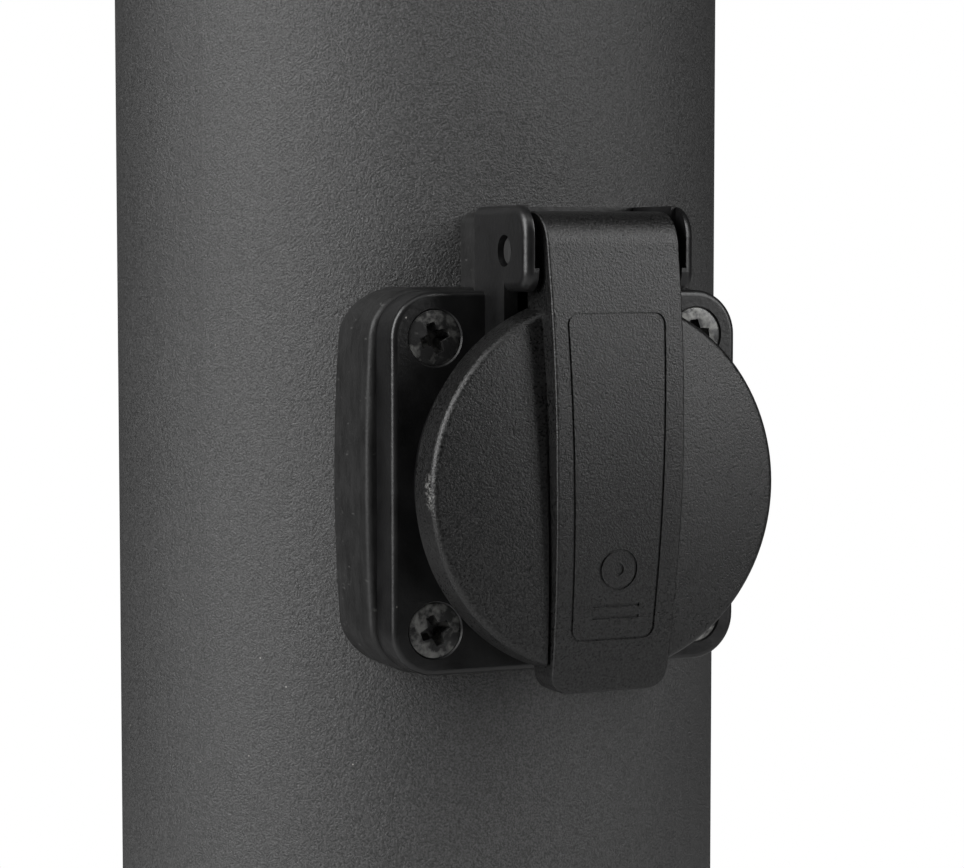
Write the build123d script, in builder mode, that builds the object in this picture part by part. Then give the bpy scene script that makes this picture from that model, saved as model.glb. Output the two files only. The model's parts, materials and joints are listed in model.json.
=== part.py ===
from build123d import *
import os
from math import cos, radians, sin, sqrt

os.makedirs("parts", exist_ok=True)

# ---------------------------------------------------------------------------------------
# Charging post with a lidded socket outlet. Millimetres, +Z up, the socket faces -Y.
# The origin is the centre of the foot's underside, on the axis of the post.
# ---------------------------------------------------------------------------------------

# Post
post_diameter = 88.9
post_wall = 2.0
tube_length = 629.0
slip_fit = 0.1               # radial clearance of what slides into the tube
socket_height = 530.0        # centre of the socket above the ground

# Foot
foot_diameter = 160.0
foot_thickness = 10.0
foot_edge = 2.0
spigot_height = 70.0
spigot_bore = 64.0
anchor_circle = 130.0
anchor_hole = 11.0
anchor_count = 4
base_screw_diameter = 6.0
base_screw_rise = 35.0       # above the foot's top

# Top cap
cap_height = 10.0
cap_round = 6.0
cap_spigot_depth = 20.0
cap_spigot_wall = 3.0
cap_seal_thickness = 1.0
cap_screw_diameter = 4.0
radial_screws = 3
thread_gap = 0.05            # radial clearance between a screw and its tapped hole
hole_gap = 0.3               # radial clearance of a screw in a plain hole

# Service opening at the back, with its flush cover
service_height = 290.0       # centre of the opening above the ground
service_width = 60.0         # across the chord
service_length = 200.0
service_corner = 8.0
cover_gap = 0.6
cover_thickness = 1.2
frame_lip = 7.0              # how far the frame reaches past each side of the opening
frame_thickness = 2.0
cover_screw_diameter = 4.0
cover_screw_inset = 10.0     # from the end of the opening

# Inlet: plate on the spigot and a cable gland
gland_plate_thickness = 2.0
gland_thread = 25.0
gland_bore = 15.0
gland_hex = 30.0
gland_hex_height = 8.0
gland_lock_height = 6.0
gland_dome_height = 16.0
plate_screw_diameter = 3.0
plate_screw_length = 10.0

# Chassis and rail
chassis_depth = 26.0         # front face of the chassis plate, from the post's axis
chassis_thickness = 2.0
chassis_length = 260.0
rail_length = 60.0
rail_height = 35.0
rail_web = 27.0
rail_rise = 7.5
rail_sheet = 1.0
rail_screw_pitch = 50.0
rail_screw_diameter = 4.0

# Breaker
breaker_width = 36.0
breaker_height = 85.0
breaker_shoulder = 36.0      # depth in front of the rail
breaker_nose = 13.0          # further depth of the nose
breaker_nose_height = 45.0
seat_gap = 0.2
terminal_depth = 12.0
lever_drum = 6.0             # radius
lever_width = 12.0
lever_reach = 11.5
lever_tab = 3.0
lever_angle = 32.0
button_side = 6.0
button_depth = 6.0
button_proud = 2.0
button_drop = 14.0           # below the lever's axis
moving_gap = 0.35

# Wires and earth
wire_diameter = 3.2
wire_bend = 16.0
earth_block_width = 8.0
earth_block_height = 50.0
earth_block_depth = 30.0
stud_diameter = 5.0
stud_drop = 105.0            # below the rail

# Socket: plug cavity, barrel and collar
cavity_diameter = 39.0
cavity_depth = 17.5
insert_wall = 0.9
insert_floor = 3.0
insert_gap = 0.1             # around the insert in the housing
insert_sink = 0.3            # insert's rim behind the collar's front
barrel_wall = 1.2
barrel_gap = 0.4             # around the barrel in the tube, gasket and nut plate
collar_wall = 1.5
collar_height = 8.2          # in front of the flange
collar_edge = 0.5

# Flange, gasket and fixings
gasket_crown = 3.35          # rubber between the post's front line and the flange
flange_margin = 3.3          # flange beside the barrel
flange_thickness = 5.5
flange_corner = 6.0
flange_edge = 0.8
gasket_lip = 0.45            # rubber beside the flange
gasket_bulge = 1.0           # how far the gasket's sides bow outwards
gasket_corner = 7.0
gasket_edge = 0.9
fixing_inset = 6.0           # screw centre from the flange's edge
fixing_diameter = 4.0
fixing_head = 7.4
fixing_overrun = 3.1         # how far the screws pass the nut plate
nut_plate_thickness = 3.0
nut_plate_inset = 0.2
skin_gap = 0.05              # between curved skins that lie on each other

# Hinge
pin_forward = 6.1            # pin's axis in front of the flange
pin_above = 5.2              # pin's axis above the flange's top edge
pin_diameter = 4.0
pin_gap = 0.05
pin_recess = 0.7
cheek_wall = 1.9
cheek_side_gap = 0.75        # between a cheek and the strap
cheek_reach = 12.7           # cheek's front, in front of the flange
cheek_head = 5.8             # cheek's top above the pin's axis
cheek_top_round = 4.0
cheek_bottom_round = 2.5
cheek_edge = 1.2
leg_length = 11.0
web_step = 2.2               # web's back, in front of the flange's back
web_thickness = 2.0
tongue_inset = 0.9
tongue_drop = 0.7            # tongue's top below the cheeks' top
tongue_corner = 1.5

# Lid and strap
lid_gap = 6.7                # between the flange and the lid's rim
lid_depth = 7.2              # crown of the lid's face in front of its rim
lid_dome = 143.0             # radius of the lid's face
lid_dome_rise = 2.5          # crown of the face above the socket's centre
lid_wall = 1.5
lid_draft = 3.5              # degrees, the wall widens towards the rim
lid_skin = 2.0               # least thickness of the face, beside the edge
lid_edge = 1.1
collar_clear = 0.7           # between the collar and the lid's wall
strap_stand = 1.9            # crown of the strap above the lid's face
strap_crown_rise = 5.0
strap_bow = 143.0            # radius of the strap's front, seen from the side
strap_step = 0.3             # strap's back, in front of the lid's rim
strap_top_half = 9.35
strap_middle_half = 8.95
strap_bottom_half = 8.15
strap_overhang = 2.2         # finger tab below the lid's rim
strap_corner = 2.5
strap_edge = 0.45
knuckle_wall = 3.0
lid_pin_gap = 0.08
spring_slot_half = 5.0
spring_slot_wall = 0.8
seal_width = 2.0
seal_inset = 0.4
seal_gap = 0.3

# Shutter, contacts, carrier and earth clip
contact_pitch = 19.0
contact_hole = 6.0
shutter_thickness = 1.5
shutter_span = 26.4
shutter_arm = 7.4
shutter_hub = 5.0
shutter_pivot = 4.0
shutter_pivot_gap = 0.06
shutter_gap = 0.3
carrier_length = 16.3
carrier_gap = 0.3
sleeve_outer = 6.6
sleeve_bore = 4.9
sleeve_slit = 0.8
terminal_side = 8.0
terminal_length = 4.4
terminal_sink = 0.3
earth_strip_width = 5.0
earth_strip = 0.8
earth_arm_inset = 1.1        # inner face of the arms, inside the cavity's wall
earth_arm_sink = 4.2         # arms' ends behind the insert's rim
earth_nip = 1.2              # how far the arms' noses bend inwards
back_cover_thickness = 2.0
back_screw_radius = 15.0
back_screw_diameter = 2.5

# Worked out from the sizes above. A depth is a distance from the post's axis, a rise
# is a height above the socket's centre.
post_radius = post_diameter / 2
tube_inner = post_radius - post_wall
spigot_radius = tube_inner - slip_fit
tube_bottom = foot_thickness
tube_top = tube_bottom + tube_length

insert_radius = cavity_diameter / 2 + insert_wall
barrel_bore = 2 * (insert_radius + insert_gap)
barrel_diameter = barrel_bore + 2 * barrel_wall
barrel_clear = barrel_diameter / 2 + barrel_gap

flange_width = barrel_diameter + 2 * flange_margin
flange_half = flange_width / 2
flange_back = post_radius + gasket_crown
flange_front = flange_back + flange_thickness
fixing_pitch = flange_width - 2 * fixing_inset
gasket_half = flange_half + gasket_lip
collar_diameter = barrel_bore + 2 * collar_wall
collar_front = flange_front + collar_height
insert_front = collar_front - insert_sink
cavity_floor = insert_front - cavity_depth
insert_back = cavity_floor - insert_floor
shutter_front = insert_back - shutter_gap
shutter_back = shutter_front - shutter_thickness
carrier_front = shutter_back - shutter_gap
carrier_back = carrier_front - carrier_length
terminal_back = carrier_back + terminal_sink
sleeve_back = terminal_back + terminal_length
bridge_depth = carrier_back - earth_strip
back_cover_front = bridge_depth - hole_gap
back_cover_rear = back_cover_front - back_cover_thickness
barrel_back = back_cover_rear - seat_gap

pin_depth = flange_front + pin_forward
pin_rise = flange_half + pin_above
pin_height = socket_height + pin_rise
cheek_inner = strap_top_half + cheek_side_gap
cheek_outer = cheek_inner + cheek_wall
cheek_front = flange_front + cheek_reach
cheek_top = pin_rise + cheek_head
cheek_bottom = flange_half
leg_bottom = flange_half - leg_length
web_back = flange_back + web_step
web_front = web_back + web_thickness
tongue_half = cheek_outer - tongue_inset
tongue_top = cheek_top - tongue_drop

lid_back = flange_front + lid_gap
lid_face = lid_back + lid_depth
lid_bore = collar_diameter + 2 * collar_clear
lid_dome_drop = lid_dome - sqrt(lid_dome ** 2 - (lid_bore / 2 + lid_dome_rise) ** 2)
lid_ceiling = lid_face - lid_dome_drop - lid_skin
lid_diameter = lid_bore + 2 * lid_wall
strap_crown = lid_face + strap_stand
strap_back = lid_back + strap_step
strap_bottom = -lid_diameter / 2 - strap_overhang
knuckle_radius = pin_diameter / 2 + lid_pin_gap + knuckle_wall
spring_slot_radius = knuckle_radius - spring_slot_wall
seal_outer = lid_bore - 2 * seal_inset
seal_inner = seal_outer - 2 * seal_width
seal_back = collar_front + seal_gap


def outward(depth):
    """Plane square to the socket's axis: local x to the right, local y up."""
    return Plane(origin=(0, -depth, socket_height), x_dir=(1, 0, 0), z_dir=(0, -1, 0))


def upright(across=0.0, height=socket_height):
    """Upright plane along the socket's axis: local x outwards, local y up."""
    return Plane(origin=(across, 0, height), x_dir=(0, -1, 0), z_dir=(-1, 0, 0))


def rearward(depth, height):
    """Plane square to the service opening's axis, seen from behind: local y up."""
    return Plane(origin=(0, depth, height), x_dir=(-1, 0, 0), z_dir=(0, 1, 0))


def radial(angle, radius, height):
    """Plane square to a line that runs outwards from the post's axis."""
    direction = (cos(radians(angle)), sin(radians(angle)), 0)
    side = (-sin(radians(angle)), cos(radians(angle)), 0)
    origin = (radius * direction[0], radius * direction[1], height)
    return Plane(origin=origin, x_dir=side, z_dir=direction)


def ring_angles(count, start):
    """Evenly spaced angles around the post."""
    return [start + 360.0 / count * step for step in range(count)]


fixing_places = GridLocations(fixing_pitch, fixing_pitch, 2, 2).locations
base_screw_angles = ring_angles(radial_screws, 90)
cap_screw_angles = ring_angles(radial_screws, 90)
plate_screw_angles = ring_angles(radial_screws, 30)

# ---------------------------------------------------------------------------------------
# Foot: a round plate, and a spigot welded on it that the tube slides over
# ---------------------------------------------------------------------------------------
plate_screw_radius = (spigot_radius + spigot_bore / 2) / 2
spigot_top = foot_thickness + spigot_height
base_screw_height = foot_thickness + base_screw_rise

with BuildPart() as foot_plate:
    with BuildSketch(Plane.XY):
        Circle(foot_diameter / 2)
    extrude(amount=foot_thickness)
    fillet(foot_plate.edges().group_by(Axis.Z)[-1], foot_edge)
    with BuildSketch(Plane.XY):
        Circle(spigot_bore / 2)
        with PolarLocations(anchor_circle / 2, anchor_count, start_angle=45):
            Circle(anchor_hole / 2)
    extrude(amount=foot_thickness, mode=Mode.SUBTRACT)
foot_plate.part.label = "foot_plate"
export_step(foot_plate.part, "parts/foot_plate.step")

with BuildPart() as spigot:
    with BuildSketch(Plane.XY.offset(foot_thickness)):
        Circle(spigot_radius)
        Circle(spigot_bore / 2, mode=Mode.SUBTRACT)
    extrude(amount=spigot_height)
    for angle in base_screw_angles:
        with BuildSketch(radial(angle, 0, base_screw_height)):
            Circle(base_screw_diameter / 2 + thread_gap)
        extrude(amount=post_radius, mode=Mode.SUBTRACT)
    with BuildSketch(Plane.XY.offset(spigot_top)):
        with PolarLocations(plate_screw_radius, radial_screws, start_angle=plate_screw_angles[0]):
            Circle(plate_screw_diameter / 2 + thread_gap)
    extrude(amount=-plate_screw_length, mode=Mode.SUBTRACT)
spigot.part.label = "spigot"
export_step(spigot.part, "parts/spigot.step")

# Grub screws through the tube into the spigot, just under the tube's surface
grub_sink = 0.4

with BuildPart() as base_screws:
    for angle in base_screw_angles:
        with BuildSketch(radial(angle, spigot_bore / 2 + grub_sink, base_screw_height)):
            Circle(base_screw_diameter / 2)
        extrude(amount=post_radius - spigot_bore / 2 - 2 * grub_sink)
        with BuildSketch(radial(angle, post_radius - grub_sink, base_screw_height)):
            RegularPolygon(base_screw_diameter / 4, 6)
        extrude(amount=-base_screw_diameter / 2, mode=Mode.SUBTRACT)
base_screws.part.label = "base_screws"
export_step(base_screws.part, "parts/base_screws.step")

# ---------------------------------------------------------------------------------------
# Post tube
# ---------------------------------------------------------------------------------------
cap_screw_height = tube_top - cap_spigot_depth / 2

with BuildPart() as post_tube:
    with BuildSketch(Plane.XY.offset(tube_bottom)):
        Circle(post_radius)
        Circle(tube_inner, mode=Mode.SUBTRACT)
    extrude(amount=tube_length)
    with BuildSketch(outward(0)):
        Circle(barrel_clear)
        with Locations(fixing_places):
            Circle(fixing_diameter / 2 + hole_gap)
    extrude(amount=post_diameter, mode=Mode.SUBTRACT)
    with BuildSketch(rearward(0, service_height)):
        RectangleRounded(service_width, service_length, service_corner)
    extrude(amount=post_diameter, mode=Mode.SUBTRACT)
    for angle in base_screw_angles:
        with BuildSketch(radial(angle, 0, base_screw_height)):
            Circle(base_screw_diameter / 2 + hole_gap)
        extrude(amount=post_diameter, mode=Mode.SUBTRACT)
    for angle in cap_screw_angles:
        with BuildSketch(radial(angle, 0, cap_screw_height)):
            Circle(cap_screw_diameter / 2 + hole_gap)
        extrude(amount=post_diameter, mode=Mode.SUBTRACT)
post_tube.part.label = "post_tube"
export_step(post_tube.part, "parts/post_tube.step")

# ---------------------------------------------------------------------------------------
# Top cap, its flat seal and its grub screws
# ---------------------------------------------------------------------------------------
cap_bottom = tube_top + cap_seal_thickness

with BuildPart() as top_cap:
    with BuildSketch(Plane.XY.offset(cap_bottom)):
        Circle(post_radius)
    extrude(amount=cap_height)
    fillet(top_cap.edges().group_by(Axis.Z)[-1], cap_round)
    with BuildSketch(Plane.XY.offset(cap_bottom)):
        Circle(spigot_radius)
        Circle(spigot_radius - cap_spigot_wall, mode=Mode.SUBTRACT)
    extrude(amount=-cap_spigot_depth - cap_seal_thickness)
    for angle in cap_screw_angles:
        with BuildSketch(radial(angle, 0, cap_screw_height)):
            Circle(cap_screw_diameter / 2 + thread_gap)
        extrude(amount=post_radius, mode=Mode.SUBTRACT)
top_cap.part.label = "top_cap"
export_step(top_cap.part, "parts/top_cap.step")

with BuildPart() as top_cap_seal:
    with BuildSketch(Plane.XY.offset(tube_top)):
        Circle(post_radius - slip_fit)
        Circle(tube_inner, mode=Mode.SUBTRACT)
    extrude(amount=cap_seal_thickness)
top_cap_seal.part.label = "top_cap_seal"
export_step(top_cap_seal.part, "parts/top_cap_seal.step")

with BuildPart() as cap_screws:
    for angle in cap_screw_angles:
        with BuildSketch(radial(angle, spigot_radius - cap_spigot_wall, cap_screw_height)):
            Circle(cap_screw_diameter / 2)
        extrude(amount=post_radius - spigot_radius + cap_spigot_wall - grub_sink)
        with BuildSketch(radial(angle, post_radius - grub_sink, cap_screw_height)):
            RegularPolygon(cap_screw_diameter / 4, 6)
        extrude(amount=-cap_screw_diameter / 2, mode=Mode.SUBTRACT)
cap_screws.part.label = "cap_screws"
export_step(cap_screws.part, "parts/cap_screws.step")

# ---------------------------------------------------------------------------------------
# Service opening: an inner frame, a foam seal and a cover flush with the tube
# ---------------------------------------------------------------------------------------
frame_width = service_width + 2 * frame_lip
frame_length = service_length + 2 * frame_lip
frame_clear = 2 * frame_lip  # how much smaller the frame's hole is than the opening
seal_outer_radius = post_radius - cover_thickness
frame_outer_radius = tube_inner - skin_gap
cover_screw_places = [
    (0, service_length / 2 - cover_screw_inset),
    (0, -service_length / 2 + cover_screw_inset),
]

with BuildPart() as cover_frame:
    with BuildSketch(Plane.XY.offset(service_height)):
        Circle(frame_outer_radius)
        Circle(frame_outer_radius - frame_thickness, mode=Mode.SUBTRACT)
    extrude(amount=frame_length / 2, both=True)
    with BuildSketch(rearward(0, service_height)):
        RectangleRounded(frame_width, frame_length, service_corner)
    extrude(amount=post_diameter, mode=Mode.INTERSECT)
    with BuildSketch(rearward(0, service_height)):
        RectangleRounded(
            service_width - frame_clear, service_length - 2 * frame_clear, service_corner
        )
        with Locations(cover_screw_places):
            Circle(cover_screw_diameter / 2 + thread_gap)
    extrude(amount=post_diameter, mode=Mode.SUBTRACT)
cover_frame.part.label = "cover_frame"
export_step(cover_frame.part, "parts/cover_frame.step")

with BuildPart() as rear_cover_seal:
    with BuildSketch(Plane.XY.offset(service_height)):
        Circle(seal_outer_radius - skin_gap)
        Circle(frame_outer_radius + skin_gap, mode=Mode.SUBTRACT)
    extrude(amount=service_length / 2, both=True)
    with BuildSketch(rearward(0, service_height)):
        RectangleRounded(
            service_width - 2 * cover_gap, service_length - 2 * cover_gap, service_corner
        )
    extrude(amount=post_diameter, mode=Mode.INTERSECT)
    with BuildSketch(rearward(0, service_height)):
        RectangleRounded(
            service_width - frame_clear, service_length - 2 * frame_clear, service_corner
        )
        with Locations(cover_screw_places):
            Circle(cover_screw_diameter / 2 + hole_gap)
    extrude(amount=post_diameter, mode=Mode.SUBTRACT)
rear_cover_seal.part.label = "rear_cover_seal"
export_step(rear_cover_seal.part, "parts/rear_cover_seal.step")

with BuildPart() as rear_cover:
    with BuildSketch(Plane.XY.offset(service_height)):
        Circle(post_radius)
        Circle(seal_outer_radius, mode=Mode.SUBTRACT)
    extrude(amount=service_length / 2, both=True)
    with BuildSketch(rearward(0, service_height)):
        RectangleRounded(
            service_width - 2 * cover_gap, service_length - 2 * cover_gap, service_corner
        )
    extrude(amount=post_diameter, mode=Mode.INTERSECT)
    with BuildSketch(rearward(0, service_height)):
        with Locations(cover_screw_places):
            Circle(cover_screw_diameter / 2 + hole_gap)
    extrude(amount=post_diameter, mode=Mode.SUBTRACT)
rear_cover.part.label = "rear_cover"
export_step(rear_cover.part, "parts/rear_cover.step")

# Button-head screws: the head stands on the cover, the shank goes into the frame
button_head_height = 2.2

with BuildPart() as rear_cover_screws:
    with BuildSketch(rearward(post_radius, service_height)):
        with Locations(cover_screw_places):
            Circle(cover_screw_diameter * 0.95)
    extrude(amount=button_head_height)
    fillet(rear_cover_screws.edges().group_by(Axis.Y)[-1], 1.4)
    with BuildSketch(rearward(post_radius + button_head_height, service_height)):
        with Locations(cover_screw_places):
            RegularPolygon(cover_screw_diameter / 3, 6)
    extrude(amount=-button_head_height * 0.7, mode=Mode.SUBTRACT)
    with BuildSketch(rearward(post_radius, service_height)):
        with Locations(cover_screw_places):
            Circle(cover_screw_diameter / 2)
    extrude(amount=-post_wall - frame_thickness - 1)
rear_cover_screws.part.label = "rear_cover_screws"
export_step(rear_cover_screws.part, "parts/rear_cover_screws.step")

# ---------------------------------------------------------------------------------------
# Inlet: a plate screwed on the spigot, and a cable gland in it
# ---------------------------------------------------------------------------------------
plate_top = spigot_top + gland_plate_thickness
plate_screw_head = 1.8
hex_top = plate_top + gland_hex_height
dome_bottom = hex_top + seat_gap
upper_thread = gland_thread - 3
upper_thread_height = gland_dome_height * 0.6
grommet_outer = upper_thread / 2 - 2
grommet_height = 9.0

with BuildPart() as gland_plate:
    with BuildSketch(Plane.XY.offset(spigot_top)):
        Circle(spigot_radius)
        Circle(gland_thread / 2 + hole_gap, mode=Mode.SUBTRACT)
        with PolarLocations(plate_screw_radius, radial_screws, start_angle=plate_screw_angles[0]):
            Circle(plate_screw_diameter / 2 + hole_gap, mode=Mode.SUBTRACT)
    extrude(amount=gland_plate_thickness)
gland_plate.part.label = "gland_plate"
export_step(gland_plate.part, "parts/gland_plate.step")

with BuildPart() as gland_plate_screws:
    with BuildSketch(Plane.XY.offset(plate_top)):
        with PolarLocations(plate_screw_radius, radial_screws, start_angle=plate_screw_angles[0]):
            Circle(plate_screw_diameter)
    extrude(amount=plate_screw_head)
    fillet(gland_plate_screws.edges().group_by(Axis.Z)[-1], 0.8)
    with BuildSketch(Plane.XY.offset(plate_top)):
        with PolarLocations(plate_screw_radius, radial_screws, start_angle=plate_screw_angles[0]):
            Circle(plate_screw_diameter / 2)
    extrude(amount=-plate_screw_length)
gland_plate_screws.part.label = "gland_plate_screws"
export_step(gland_plate_screws.part, "parts/gland_plate_screws.step")

with BuildPart() as gland_body:
    with BuildSketch(Plane.XY.offset(spigot_top - gland_lock_height - 2)):
        Circle(gland_thread / 2)
    extrude(amount=gland_lock_height + 2 + gland_plate_thickness)
    with BuildSketch(Plane.XY.offset(plate_top)):
        RegularPolygon(gland_hex / 2, 6, major_radius=False)
    extrude(amount=gland_hex_height)
    with BuildSketch(Plane.XY.offset(hex_top)):
        Circle(upper_thread / 2)
    extrude(amount=upper_thread_height)
    with BuildSketch(Plane.XY.offset(hex_top)):
        Circle(grommet_outer)
    extrude(amount=upper_thread_height, mode=Mode.SUBTRACT)
    with BuildSketch(Plane.XY.offset(spigot_top - gland_lock_height - 2)):
        Circle(gland_bore / 2)
    extrude(amount=gland_lock_height + gland_dome_height + gland_hex_height, mode=Mode.SUBTRACT)
gland_body.part.label = "gland_body"
export_step(gland_body.part, "parts/gland_body.step")

with BuildPart() as gland_grommet:
    with BuildSketch(Plane.XY.offset(hex_top)):
        Circle(grommet_outer - skin_gap)
        Circle(gland_bore / 2, mode=Mode.SUBTRACT)
    extrude(amount=grommet_height)
gland_grommet.part.label = "gland_grommet"
export_step(gland_grommet.part, "parts/gland_grommet.step")

with BuildPart() as gland_locknut:
    with BuildSketch(Plane.XY.offset(spigot_top - gland_lock_height)):
        RegularPolygon(gland_hex / 2 + 1, 6, major_radius=False)
        Circle(gland_thread / 2 + thread_gap, mode=Mode.SUBTRACT)
    extrude(amount=gland_lock_height)
gland_locknut.part.label = "gland_locknut"
export_step(gland_locknut.part, "parts/gland_locknut.step")

with BuildPart() as gland_dome_nut:
    with BuildSketch(Plane.XY.offset(dome_bottom)):
        RegularPolygon(gland_hex / 2 - 1, 6, major_radius=False)
    extrude(amount=gland_dome_height)
    chamfer(gland_dome_nut.edges().group_by(Axis.Z)[-1], 2.5)
    with BuildSketch(Plane.XY.offset(dome_bottom)):
        Circle(upper_thread / 2 + thread_gap)
    extrude(amount=upper_thread_height, mode=Mode.SUBTRACT)
    with BuildSketch(Plane.XY.offset(dome_bottom)):
        Circle(gland_bore / 2 + hole_gap)
    extrude(amount=gland_dome_height, mode=Mode.SUBTRACT)
gland_dome_nut.part.label = "gland_dome_nut"
export_step(gland_dome_nut.part, "parts/gland_dome_nut.step")

# ---------------------------------------------------------------------------------------
# Chassis plate welded across the tube, and a hat-section rail on it
# ---------------------------------------------------------------------------------------
chassis_half = sqrt(tube_inner ** 2 - chassis_depth ** 2) - skin_gap
chassis_back = chassis_thickness - chassis_depth    # y of the face that carries the rail
rail_face = chassis_back + rail_rise
stud_height = service_height - stud_drop
stud_side = 22.0

with BuildPart() as chassis_plate:
    with BuildSketch(rearward(-chassis_depth, service_height)):
        Rectangle(2 * chassis_half, chassis_length)
        with Locations((-rail_screw_pitch / 2, 0), (rail_screw_pitch / 2, 0)):
            Circle(rail_screw_diameter / 2 + thread_gap, mode=Mode.SUBTRACT)
        with Locations((-stud_side, -stud_drop)):
            Circle(stud_diameter / 2 + thread_gap, mode=Mode.SUBTRACT)
    extrude(amount=chassis_thickness)
chassis_plate.part.label = "chassis_plate"
export_step(chassis_plate.part, "parts/chassis_plate.step")

with BuildPart() as din_rail:
    with BuildSketch(Plane(origin=(0, chassis_back, service_height), x_dir=(0, 1, 0), z_dir=(1, 0, 0))):
        with BuildLine():
            Polyline(
                (0, -rail_web / 2),
                (rail_rise - rail_sheet, -rail_web / 2),
                (rail_rise - rail_sheet, -rail_height / 2),
                (rail_rise, -rail_height / 2),
                (rail_rise, -rail_web / 2 + rail_sheet),
                (rail_sheet, -rail_web / 2 + rail_sheet),
                (rail_sheet, rail_web / 2 - rail_sheet),
                (rail_rise, rail_web / 2 - rail_sheet),
                (rail_rise, rail_height / 2),
                (rail_rise - rail_sheet, rail_height / 2),
                (rail_rise - rail_sheet, rail_web / 2),
                (0, rail_web / 2),
                close=True,
            )
        make_face()
    extrude(amount=rail_length / 2, both=True)
    with BuildSketch(rearward(chassis_back, service_height)):
        with Locations((-rail_screw_pitch / 2, 0), (rail_screw_pitch / 2, 0)):
            Circle(rail_screw_diameter / 2 + hole_gap)
    extrude(amount=rail_rise, mode=Mode.SUBTRACT)
din_rail.part.label = "din_rail"
export_step(din_rail.part, "parts/din_rail.step")

with BuildPart() as rail_screws:
    with BuildSketch(rearward(chassis_back + rail_sheet, service_height)):
        with Locations((-rail_screw_pitch / 2, 0), (rail_screw_pitch / 2, 0)):
            Circle(rail_screw_diameter * 0.95)
    extrude(amount=rail_screw_diameter * 0.6)
    with BuildSketch(rearward(chassis_back + rail_sheet, service_height)):
        with Locations((-rail_screw_pitch / 2, 0), (rail_screw_pitch / 2, 0)):
            Circle(rail_screw_diameter / 2)
    extrude(amount=-chassis_thickness - rail_sheet - 1)
rail_screws.part.label = "rail_screws"
export_step(rail_screws.part, "parts/rail_screws.step")


# ---------------------------------------------------------------------------------------
# Breaker on the rail: case, lever, test button and terminal screws
# ---------------------------------------------------------------------------------------
case_back = rail_face + seat_gap
shoulder = case_back + breaker_shoulder
nose = shoulder + breaker_nose
lever_axis = nose - lever_drum / 1.5
hook_lip = 1.6
hook_back = rail_face - rail_sheet - seat_gap - hook_lip
hook_outside = rail_height / 2 + seat_gap
terminal_radius = wire_diameter / 2 + hole_gap
wire_plane = 0.0             # the wires run down through the post's axis plane
screw_recess = 4.0
clamp_screw = 5.0


def rail_profile(centre=service_height):
    """Plane for a rail-mounted case, seen from its side: local x to the rear, local y up."""
    return Plane(origin=(0, 0, centre), x_dir=(0, 1, 0), z_dir=(1, 0, 0))


def hook_corners(side):
    """Corner points of one hook behind the rail's edge, seen from the case's side."""
    return [
        (case_back + 1, side * (hook_outside + 3)),
        (hook_back, side * (hook_outside + 3)),
        (hook_back, side * (hook_outside - 2)),
        (hook_back + hook_lip, side * (hook_outside - 2)),
        (hook_back + hook_lip, side * hook_outside),
        (case_back + 1, side * hook_outside),
    ]


with BuildPart() as rcbo_case:
    with BuildSketch(rail_profile()):
        with Locations(((case_back + shoulder) / 2, 0)):
            Rectangle(breaker_shoulder, breaker_height)
        with Locations(((shoulder + nose) / 2, 0)):
            Rectangle(breaker_nose, breaker_nose_height)
        for side in (1, -1):
            with BuildLine():
                Polyline(*hook_corners(side), close=True)
            make_face()
    extrude(amount=breaker_width / 2, both=True)
    fillet(rcbo_case.edges().filter_by(Axis.X).group_by(Axis.Y)[-1], 1.0)
    with BuildSketch(rail_profile()):
        with Locations((lever_axis, 0)):
            Circle(lever_drum + moving_gap)
    extrude(amount=lever_width / 2 + moving_gap, both=True, mode=Mode.SUBTRACT)
    with BuildSketch(rearward(nose, service_height)):
        with Locations((0, -button_drop)):
            Rectangle(button_side + 2 * moving_gap, button_side + 2 * moving_gap)
    extrude(amount=-button_depth, mode=Mode.SUBTRACT)
    for side in (1, -1):
        with BuildSketch(Plane.XY.offset(service_height + side * breaker_height / 2)):
            with Locations((-contact_pitch / 2, wire_plane), (contact_pitch / 2, wire_plane)):
                Circle(terminal_radius)
        extrude(amount=-side * terminal_depth, mode=Mode.SUBTRACT)
        with BuildSketch(rearward(shoulder, service_height + side * (breaker_height / 2 - 8))):
            with Locations((-contact_pitch / 2, 0), (contact_pitch / 2, 0)):
                Circle(clamp_screw / 2 + hole_gap)
        extrude(amount=-screw_recess - 3, mode=Mode.SUBTRACT)
rcbo_case.part.label = "rcbo_case"
export_step(rcbo_case.part, "parts/rcbo_case.step")

# The lever's drum turns on a hidden axis across the case; its tab points up when on
with BuildPart() as rcbo_lever:
    with BuildSketch(rail_profile()):
        with Locations((lever_axis, 0)):
            Circle(lever_drum)
        with Locations(Location((lever_axis, 0), lever_angle)):
            with Locations((lever_reach / 2, 0)):
                Rectangle(lever_reach, lever_tab)
    extrude(amount=lever_width / 2, both=True)
    fillet(rcbo_lever.edges().filter_by(Axis.X).group_by(Axis.Y)[-1], 0.8)
rcbo_lever.part.label = "rcbo_lever"
export_step(rcbo_lever.part, "parts/rcbo_lever.step")

with BuildPart() as rcbo_test_button:
    with BuildSketch(rearward(nose + button_proud, service_height)):
        with Locations((0, -button_drop)):
            RectangleRounded(button_side, button_side, 1)
    extrude(amount=-button_depth)
rcbo_test_button.part.label = "rcbo_test_button"
export_step(rcbo_test_button.part, "parts/rcbo_test_button.step")

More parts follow.
